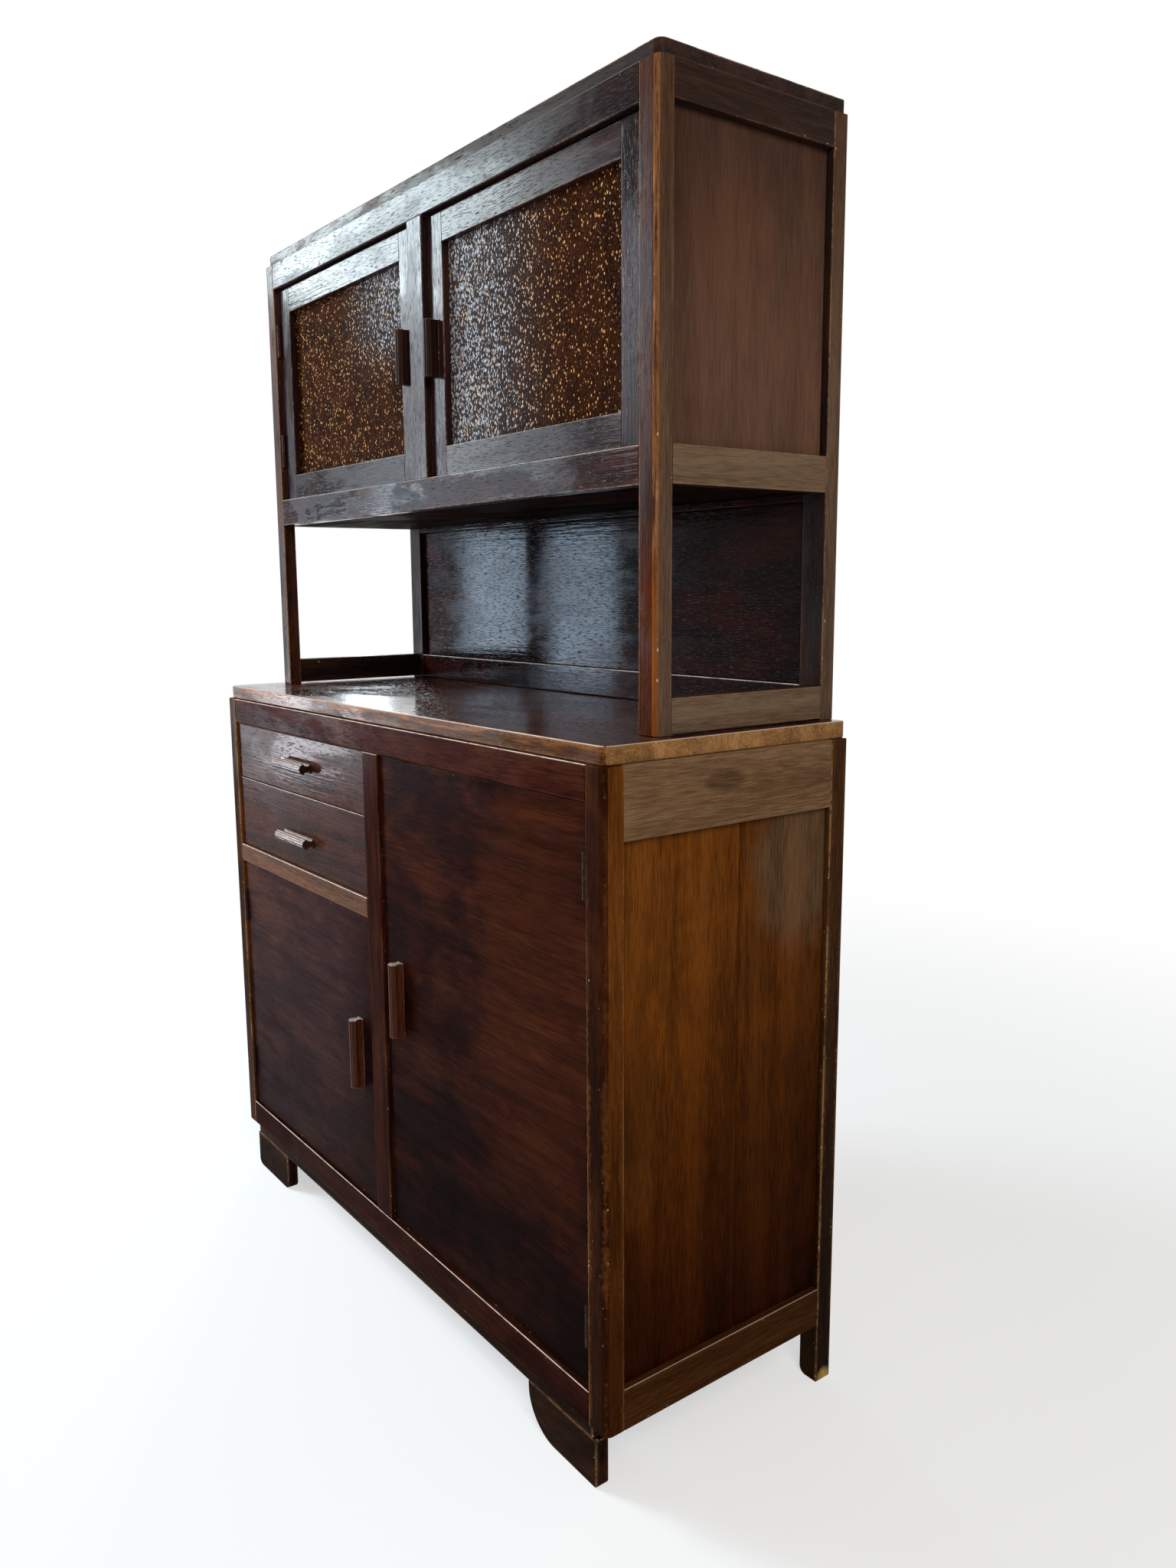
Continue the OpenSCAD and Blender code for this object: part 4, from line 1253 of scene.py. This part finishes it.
SIDE_TAN = Varnish("side_rail_varnish", (0.078, 0.041, 0.019), (0.205, 0.120, 0.066),
                   warm=(0.21, 0.105, 0.045), warmth=0.4, line=(0.30, 0.19, 0.10), wear=0.1, chips=0.3,
                   gloss=0.01, contrast=0.25,
                   spots=(Spot((0.60, -0.01, 0.935), (0.03, 0.032, 0.016), (0.060, 0.030, 0.015), 0.55),))
SIDE_LOW = Varnish("side_low_rail_varnish", (0.019, 0.0060, 0.0015), (0.062, 0.0215, 0.0054),
                   warm=(0.095, 0.034, 0.007), warmth=0.5, wear=0.1, ledge_highlight_and_wear=0.6, gloss=0.005)

# Wood inside and behind.
INNER = Varnish("unvarnished_wood", (0.17, 0.100, 0.052), (0.34, 0.225, 0.130), warm=(0.33, 0.20, 0.10),
                worn=(0.38, 0.25, 0.15), wear=0.2, chips=0.1, smooth=0.5, dull=0.7, fibre=0.004,
                contrast=0.35, flecks=0.1)
SHELF = Varnish("display_shelf_wood", (0.45, 0.28, 0.14), (0.72, 0.50, 0.28), warm=(0.7, 0.45, 0.22),
                wear=0.1, chips=0.1, smooth=0.5, dull=0.7, contrast=0.2, flecks=0.1)

# Handles and feet.
HANDLE = Varnish("handle_varnish", (0.022, 0.0058, 0.0030), (0.080, 0.0215, 0.0080),
                 warm=(0.11, 0.032, 0.010), worn=(0.22, 0.10, 0.05), reach=0.003, wear=0.25, ledge_highlight_and_wear=0.7,
                 chips=0.2, smooth=0.07, dull=0.16, gloss=0.07)
HANDLE_DARK = Varnish("dark_handle_varnish", (0.0060, 0.0028, 0.0026), (0.020, 0.0085, 0.0062),
                      warmth=0.2, reach=0.003, wear=0.2, ledge_highlight_and_wear=0.5, smooth=0.14, dull=0.30, gloss=0.03)
HANDLE_END = Varnish("handle_end_varnish", (0.010, 0.0045, 0.0035), (0.026, 0.012, 0.009), wear=0.05,
                     gloss=0.05)
# Ends of the lower doors' handles: pale and glossy, a painted highlight where their top ends catch the light.
HANDLE_END_HIGHLIGHT = Varnish("handle_top_varnish", (0.20, 0.15, 0.13), (0.55, 0.46, 0.42), wear=0.1, smooth=0.15,
                     dull=0.25, gloss=0.4, contrast=0.1)
FOOT = Varnish("foot_varnish", (0.0036, 0.0015, 0.0011), (0.0125, 0.0044, 0.0026),
               worn=(0.11, 0.060, 0.030), reach=0.006, wear=0.3, chips=1.0, gloss=0.006, flecks=0.8)


class Assembly:
    """A sub-assembly: boards that are rebuilt, and nodes that only take a finish."""

    def boards(self) -> list[Board]:
        """The boards."""
        return []

    def fittings(self) -> dict[str, Finish]:
        """The finish of each other node, by the node's name."""
        return {}

    def build(self, frame: dict) -> None:
        """Builds the boards and dresses the other nodes.

        Args:
            frame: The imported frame.
        """
        for board in self.boards():
            board.build(frame)
        for node, finish in self.fittings().items():
            dress(frame, node, finish)


@dataclass
class BaseFrame(Assembly):
    """Posts, rails, panels, shelves, floor board, feet and table top of the base.

    Attributes:
        body: Body that it rides on.
        post_arris: Radius of the posts' arrises in metres.
        rail_arris: That of the lower front rails.
        top_rail_arris: That of the top rail.
        joint_arris: That of the joints between the side boards.
        table_arris: That of the table top.
        steps: Segments of the wider arrises.
    """

    body: str = "cabinet"
    post_arris: float = 0.0015
    rail_arris: float = 0.0024
    top_rail_arris: float = 0.0030
    joint_arris: float = 0.0006
    table_arris: float = 0.0022
    steps: int = 4

    def boards(self) -> list[Board]:
        """The base's boards.

        Returns:
            One for each node of boards.
        """
        b, steps = self.body, self.steps
        x, y, z = Fibres.ALONG_X, Fibres.ALONG_Y, Fibres.ALONG_Z
        flanks = (Accent(BASE_POST_FLANK, Faces.SIDES),)
        low_rails = (Accent(SIDE_LOW, Faces.BELOW, 0.5),)
        table_edges = (Accent(TABLE_EDGE, Faces.RIM), Accent(TABLE_SIDE, Faces.OUTER))
        return [
            Board("base_front_posts", b, z, BASE_POST, "edge_wood", flanks, arris=self.post_arris),
            Board("base_centre_post", b, z, BASE_RED, "front_wood"),
            Board("base_back_posts", b, z, BACK_POST, "edge_wood", arris=self.post_arris),
            Board("base_top_rail", b, x, BASE_RED, "front_wood", arris=self.top_rail_arris, steps=steps),
            Board("base_drawer_rail", b, x, BASE_TAN, "rail_wood", arris=self.rail_arris, steps=steps),
            Board("base_bottom_rail", b, x, BASE_RED, "front_wood", arris=self.rail_arris, steps=steps),
            Board("base_side_rails", b, y, SIDE_TAN, "side_wood", low_rails, False, self.post_arris, steps),
            Board("base_side_boards", b, z, BASE_SIDE, "side_wood", arris=self.joint_arris),
            Board("base_back_panel", b, z, INNER, "inner_wood"),
            Board("base_floor", b, x, FOOT, "dark_wood", free_ends=True),
            Board("base_floor_cleats", b, y, INNER, "inner_wood"),
            Board("base_front_feet", b, x, FOOT, "front_wood", free_ends=True, arris=self.post_arris),
            Board("base_partition", b, z, INNER, "inner_wood"),
            Board("base_shelves", b, x, INNER, "inner_wood"),
            Board("base_shelf_battens", b, y, INNER, "inner_wood"),
            Board("drawer_runners", b, y, INNER, "inner_wood"),
            Board("table_top", b, x, TABLE, "edge_wood", table_edges, True, self.table_arris, steps),
        ]

    def fittings(self) -> dict[str, Finish]:
        """The fixed halves of the lower doors' hinges."""
        return {"base_hinge_leaves": OldBrass()}


@dataclass
class Hutch(Assembly):
    """Frame, panels and shelves of the hutch, and its cap board.

    Attributes:
        body: Body that it rides on.
        arris: Radius of the posts' and front rails' arrises in metres.
        niche_arris: That of the back rails, which catch the light in the niche.
        cap_arris: That of the cap board.
        steps: Segments of the wider arrises.
        cap_steps: Segments of the cap board's.
    """

    body: str = "cabinet"
    arris: float = 0.0015
    niche_arris: float = 0.0028
    cap_arris: float = 0.0022
    steps: int = 4
    cap_steps: int = 3

    def boards(self) -> list[Board]:
        """The hutch's boards.

        Returns:
            One for each node of boards.
        """
        b, steps = self.body, self.steps
        x, y, z = Fibres.ALONG_X, Fibres.ALONG_Y, Fibres.ALONG_Z
        flank = Accent(HUTCH_POST_SIDE, Faces.OUTER)
        corners = (Accent(HUTCH_EDGE, Faces.CORNER), flank)
        rails = (Accent(HUTCH_RAIL, Faces.OUTER), Accent(HUTCH_TOP_FLANK, Faces.ABOVE, 1.65))
        return [
            Board("hutch_front_posts", b, z, HUTCH_POST, "edge_wood", corners, arris=self.arris),
            Board("hutch_back_posts", b, z, NICHE_POST, "hutch_side_wood", (flank,)),
            Board("hutch_mullion", b, z, HUTCH_FRONT, "front_wood"),
            Board("hutch_top_rail", b, x, HUTCH_FRONT, "front_wood", arris=self.arris, steps=steps),
            Board("hutch_mid_rail", b, x, MID_RAIL, "front_wood", arris=self.arris, steps=steps),
            Board("hutch_side_rails", b, y, NICHE_POST, "hutch_side_wood", rails),
            Board("hutch_side_panels", b, z, HUTCH_FLANK, "hutch_side_wood"),
            Board("hutch_back_rails", b, x, NICHE, "dark_wood", arris=self.niche_arris, steps=steps),
            Board("display_floor", b, x, CEILING, "dark_wood"),
            Board("display_shelf", b, x, SHELF, "inner_wood", free_ends=True),
            Board("display_shelf_battens", b, y, INNER, "inner_wood"),
            Board("display_back_panel", b, z, INNER, "inner_wood"),
            Board("niche_back_panel", b, x, NICHE_PANEL, "dark_wood"),
            Board("cap_board", b, x, CAP, "edge_wood", (), True, self.cap_arris, self.cap_steps),
        ]

    def fittings(self) -> dict[str, Finish]:
        """The fixed halves of the glass doors' hinges."""
        return {"hutch_hinge_leaves": OldBrass()}


@dataclass
class GlassDoor(Assembly):
    """One glazed door of the hutch.

    Attributes:
        side: left or right.
        arris: Radius of the frame's arrises in metres.
        steps: Segments of the frame's arrises.
        handle_arris: Radius of the handle's arrises in metres.
    """

    side: str
    arris: float = 0.0010
    steps: int = 4
    handle_arris: float = 0.0006

    def boards(self) -> list[Board]:
        """The door's wood.

        Returns:
            Its stiles, rails, beads and handle.
        """
        body = f"{self.side}_glass_door"
        frame = [
            Board(f"{self.side}_glass_{part}", body, fibres, finish, slot, arris=self.arris, steps=self.steps)
            for part, fibres, finish, slot in (
                ("stiles", Fibres.ALONG_Z, HUTCH_FRONT, "front_wood"),
                ("rails", Fibres.ALONG_X, HUTCH_FRONT, "front_wood"),
                ("beads", Fibres.ALONG_X, NICHE, "dark_wood"),
            )
        ]
        handle = Board(f"{self.side}_glass_handle", body, Fibres.ALONG_Z, HANDLE_DARK, "handle_wood",
                       (Accent(HANDLE_END, Faces.ENDS),), free_ends=True, arris=self.handle_arris)
        return [*frame, handle]

    def fittings(self) -> dict[str, Finish]:
        """The pane and the door's halves of the hinges."""
        return {f"{self.side}_glass_pane": AmberGlass(), f"{self.side}_glass_hinges": OldBrass()}


@dataclass
class FlushDoor(Assembly):
    """One flush door of the base.

    Attributes:
        side: left or right.
        finish: Finish of its panel.
        handle_arris: Radius of the handle's arrises in metres.
    """

    side: str
    finish: Varnish
    handle_arris: float = 0.0010

    def boards(self) -> list[Board]:
        """The door's wood.

        Returns:
            Its panel and handle.
        """
        body = f"{self.side}_door"
        return [
            Board(f"{body}_panel", body, Fibres.ALONG_X, self.finish, "front_wood", free_ends=True),
            Board(f"{body}_handle", body, Fibres.ALONG_Z, HANDLE, "handle_wood",
                  (Accent(HANDLE_END_HIGHLIGHT, Faces.ENDS),), free_ends=True, arris=self.handle_arris),
        ]

    def fittings(self) -> dict[str, Finish]:
        """The door's halves of the hinges."""
        return {f"{self.side}_door_hinges": OldBrass()}


@dataclass
class Drawer(Assembly):
    """One drawer of the base.

    Attributes:
        level: upper or lower.
        front_arris: Radius of the front's arrises in metres.
        front_steps: Segments of the front's arrises.
        handle_arris: Radius of the handle's arrises in metres.
    """

    level: str
    front_arris: float = 0.0018
    front_steps: int = 4
    handle_arris: float = 0.0008

    def boards(self) -> list[Board]:
        """The drawer's wood.

        Returns:
            Its front, box, bottom and handle.
        """
        body = f"{self.level}_drawer"
        return [
            Board(f"{body}_front", body, Fibres.ALONG_X, DRAWER_RED, "front_wood", free_ends=True,
                  arris=self.front_arris, steps=self.front_steps),
            Board(f"{body}_box", body, Fibres.ALONG_Y, INNER, "inner_wood"),
            Board(f"{body}_bottom", body, Fibres.ALONG_X, INNER, "inner_wood"),
            Board(f"{body}_handle", body, Fibres.ALONG_X, HANDLE, "handle_wood",
                  (Accent(HANDLE_END, Faces.ENDS),), free_ends=True, arris=self.handle_arris),
        ]


@dataclass(frozen=True)
class Softbox:
    """One lamp.

    Attributes:
        name: Name of the lamp.
        place: Its middle, in metres.
        target: Point that it faces.
        width: Its width in metres.
        height: Its height in metres.
        watts: Its power.
        colour: Colour of its light.
    """

    name: str
    place: Point
    target: Point
    width: float
    height: float
    watts: float
    colour: Colour

    def build(self) -> None:
        """Hangs the lamp, unseen by the camera."""
        light = bpy.data.lights.new(self.name, "AREA")
        light.shape, light.size, light.size_y = "RECTANGLE", self.width, self.height
        light.energy, light.color = self.watts, self.colour
        lamp = bpy.data.objects.new(self.name, light)
        aim = Vector(self.target) - Vector(self.place)
        lamp.visible_camera = False
        lamp.matrix_world = Matrix.Translation(self.place) @ aim.to_track_quat("-Z", "Y").to_matrix().to_4x4()
        bpy.context.scene.collection.objects.link(lamp)


LAMPS: tuple[Softbox, ...] = (
    Softbox("window_softbox", (-2.937, -1.655, 2.74), (0.0, -0.10, 1.60),
            1.05, 0.74, 94.0, (0.80, 0.95, 1.0)),
    Softbox("wall_softbox", (-2.72, -1.87, 1.975), (0.0, -0.10, 1.45),
            0.80, 0.95, 38.0, (0.78, 0.90, 1.0)),
    Softbox("flank_softbox", (-2.45, -2.607, 2.32), (0.50, -0.10, 1.50),
            0.35, 0.90, 18.0, (0.85, 0.88, 1.0)),
    Softbox("niche_softbox_left", (-2.976, -1.579, 1.10), (-0.2, 0.19, 1.15),
            0.30, 0.70, 20.0, (0.61, 0.79, 1.0)),
    Softbox("niche_softbox_right", (-2.792, -1.939, 1.10), (0.0, 0.19, 1.15),
            0.30, 0.70, 24.0, (0.59, 0.78, 1.0)),
    Softbox("back_softbox", (-2.62, 1.12, 1.95), (-0.45, 0.0, 1.0),
            0.16, 1.10, 8.0, (0.80, 0.92, 1.0)),
    Softbox("low_softbox", (-3.028, -1.4765, 0.62), (-0.2, -0.20, 0.90),
            0.40, 0.42, 11.0, (0.90, 0.92, 1.0)),
    Softbox("side_softbox", (3.20, -1.30, 2.90), (0.50, 0.00, 0.90),
            1.40, 1.40, 80.0, (1.0, 0.96, 0.91)),
)


@dataclass
class Studio:
    """Floor, backdrop, lamps and camera.

    Attributes:
        image: Width and height of the picture in pixels.
        centre: Pixel that the lens looks straight at.
        focal: Focal length in pixels.
        sensor: Width of the camera's sensor in millimetres.
        eye: Place of the camera in metres.
        heading: Degrees that the camera is turned to the left of +Y.
        tilt: Degrees that it looks up.
        roll: Degrees that it leans.
        far_end: Distance in metres that it sees to.
        floor_radius: Radius of the floor in metres.
        floor_segments: Straight pieces of its outline.
        floor_colour: Colour of the floor.
        floor_roughness: Roughness of the floor.
        floor_gloss: Specular level of the floor.
        floor_fade: Distances from the cabinet between which the floor goes over into white.
        floor_glow: Share of white that is seen near the cabinet.
        ambient: Strength of the even light.
    """

    image: tuple[int, int] = (1536, 2048)
    centre: tuple[float, float] = (742.1, 1009.2)
    focal: float = 1546.7
    sensor: float = 36.0
    eye: Point = (1.6792, -1.0582, 1.1803)
    heading: float = 53.46
    tilt: float = -8.883
    roll: float = -0.470
    far_end: float = 100.0
    floor_radius: float = 9.0
    floor_segments: int = 96
    floor_colour: Colour = (0.86, 0.86, 0.85)
    floor_roughness: float = 0.9
    floor_gloss: float = 0.1
    floor_fade: Range = (0.9, 3.0)
    floor_glow: float = 0.55
    ambient: float = 0.32

    def build(self) -> None:
        """Sets up the floor, the world, the lamps and the camera."""
        scene = bpy.context.scene
        scene.view_settings.view_transform = "Standard"
        self.lay_floor()
        self.paint_world()
        for lamp in LAMPS:
            lamp.build()
        scene.camera = self.aim_camera()

    def aim_camera(self) -> bpy.types.Object:
        """Puts the camera at the photograph's place and angle.

        Returns:
            The camera.
        """
        yaw, pitch, roll = (math.radians(v) for v in (self.heading, self.tilt, self.roll))
        level = math.cos(pitch)
        ahead = Vector((-math.sin(yaw) * level, math.cos(yaw) * level, math.sin(pitch)))
        right = Vector((math.cos(yaw), math.sin(yaw), 0.0))
        up = right.cross(ahead)
        lean, stand = math.sin(roll), math.cos(roll)
        right, up = right * stand + up * lean, up * stand - right * lean
        data = bpy.data.cameras.new("camera")
        long_side = max(self.image)
        data.sensor_fit, data.sensor_width = "AUTO", self.sensor
        data.lens = self.focal / long_side * self.sensor
        data.shift_x = (self.image[0] / 2 - self.centre[0]) / long_side
        data.shift_y = (self.centre[1] - self.image[1] / 2) / long_side
        data.clip_end = self.far_end
        camera = bpy.data.objects.new("camera", data)
        turn = Matrix((right, up, -ahead)).transposed().to_4x4()
        camera.matrix_world = Matrix.Translation(self.eye) @ turn
        bpy.context.scene.collection.objects.link(camera)
        return camera

    def lay_floor(self) -> None:
        """Lays a round pale floor that goes over into the white of the world."""
        bm = bmesh.new()
        bmesh.ops.create_circle(bm, cap_ends=True, cap_tris=False, segments=self.floor_segments,
                                radius=self.floor_radius)
        mesh = bpy.data.meshes.new("floor")
        bm.to_mesh(mesh)
        bm.free()
        floor = bpy.data.objects.new("floor", mesh)
        bpy.context.scene.collection.objects.link(floor)
        paint = bpy.data.materials.new("pale_floor")
        paint.use_nodes = True
        w = Wiring(paint.node_tree)
        shader = paint.node_tree.nodes["Principled BSDF"]
        w.feed(shader.inputs["Base Color"], self.floor_colour)
        shader.inputs["Roughness"].default_value = self.floor_roughness
        shader.inputs["Specular IOR Level"].default_value = self.floor_gloss
        glow = w.add("ShaderNodeEmission")
        w.feed(glow.inputs["Color"], WHITE)
        far = w.span(w.length(w.here()), *self.floor_fade, self.floor_glow, 1.0)
        blend = w.add("ShaderNodeMixShader")
        w.feed(blend.inputs[0], w.times(far, self.seen(w)))
        w.feed(blend.inputs[1], shader.outputs[0])
        w.feed(blend.inputs[2], glow.outputs[0])
        out = paint.node_tree.nodes["Material Output"]
        w.feed(out.inputs["Surface"], blend.outputs[0])
        mesh.materials.append(paint)

    @staticmethod
    def seen(w: Wiring) -> Socket:
        """Tells the rays that show the background: from the camera, in reflections and through glass.

        Args:
            w: Wiring of the floor's material or the world.

        Returns:
            1 for these rays, 0 for the others.
        """
        path = w.add("ShaderNodeLightPath")
        first = w.math("MAXIMUM", path.outputs["Is Camera Ray"], path.outputs["Is Glossy Ray"])
        return w.math("MAXIMUM", first, path.outputs["Is Transmission Ray"])

    def paint_world(self) -> None:
        """Paints the world white where it is seen, and makes it a soft even light elsewhere."""
        world = bpy.data.worlds.new("studio")
        bpy.context.scene.world = world
        world.use_nodes = True
        w = Wiring(world.node_tree)
        ground = world.node_tree.nodes["Background"]
        w.feed(ground.inputs["Color"], WHITE)
        w.feed(ground.inputs["Strength"], w.span(self.seen(w), 0.0, 1.0, self.ambient, 1.0))


def main() -> None:
    """Builds the dressed cabinet and the studio."""
    logging.basicConfig(level=logging.INFO, format="%(message)s")
    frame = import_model()
    Studio().build()
    assemblies = [BaseFrame(), Hutch(), GlassDoor("left"), GlassDoor("right"), FlushDoor("left", LEFT_FRONT),
                  FlushDoor("right", BASE_FRONT), Drawer("upper"), Drawer("lower")]
    for assembly in assemblies:
        assembly.build(frame)


if __name__ == "__main__":
    main()
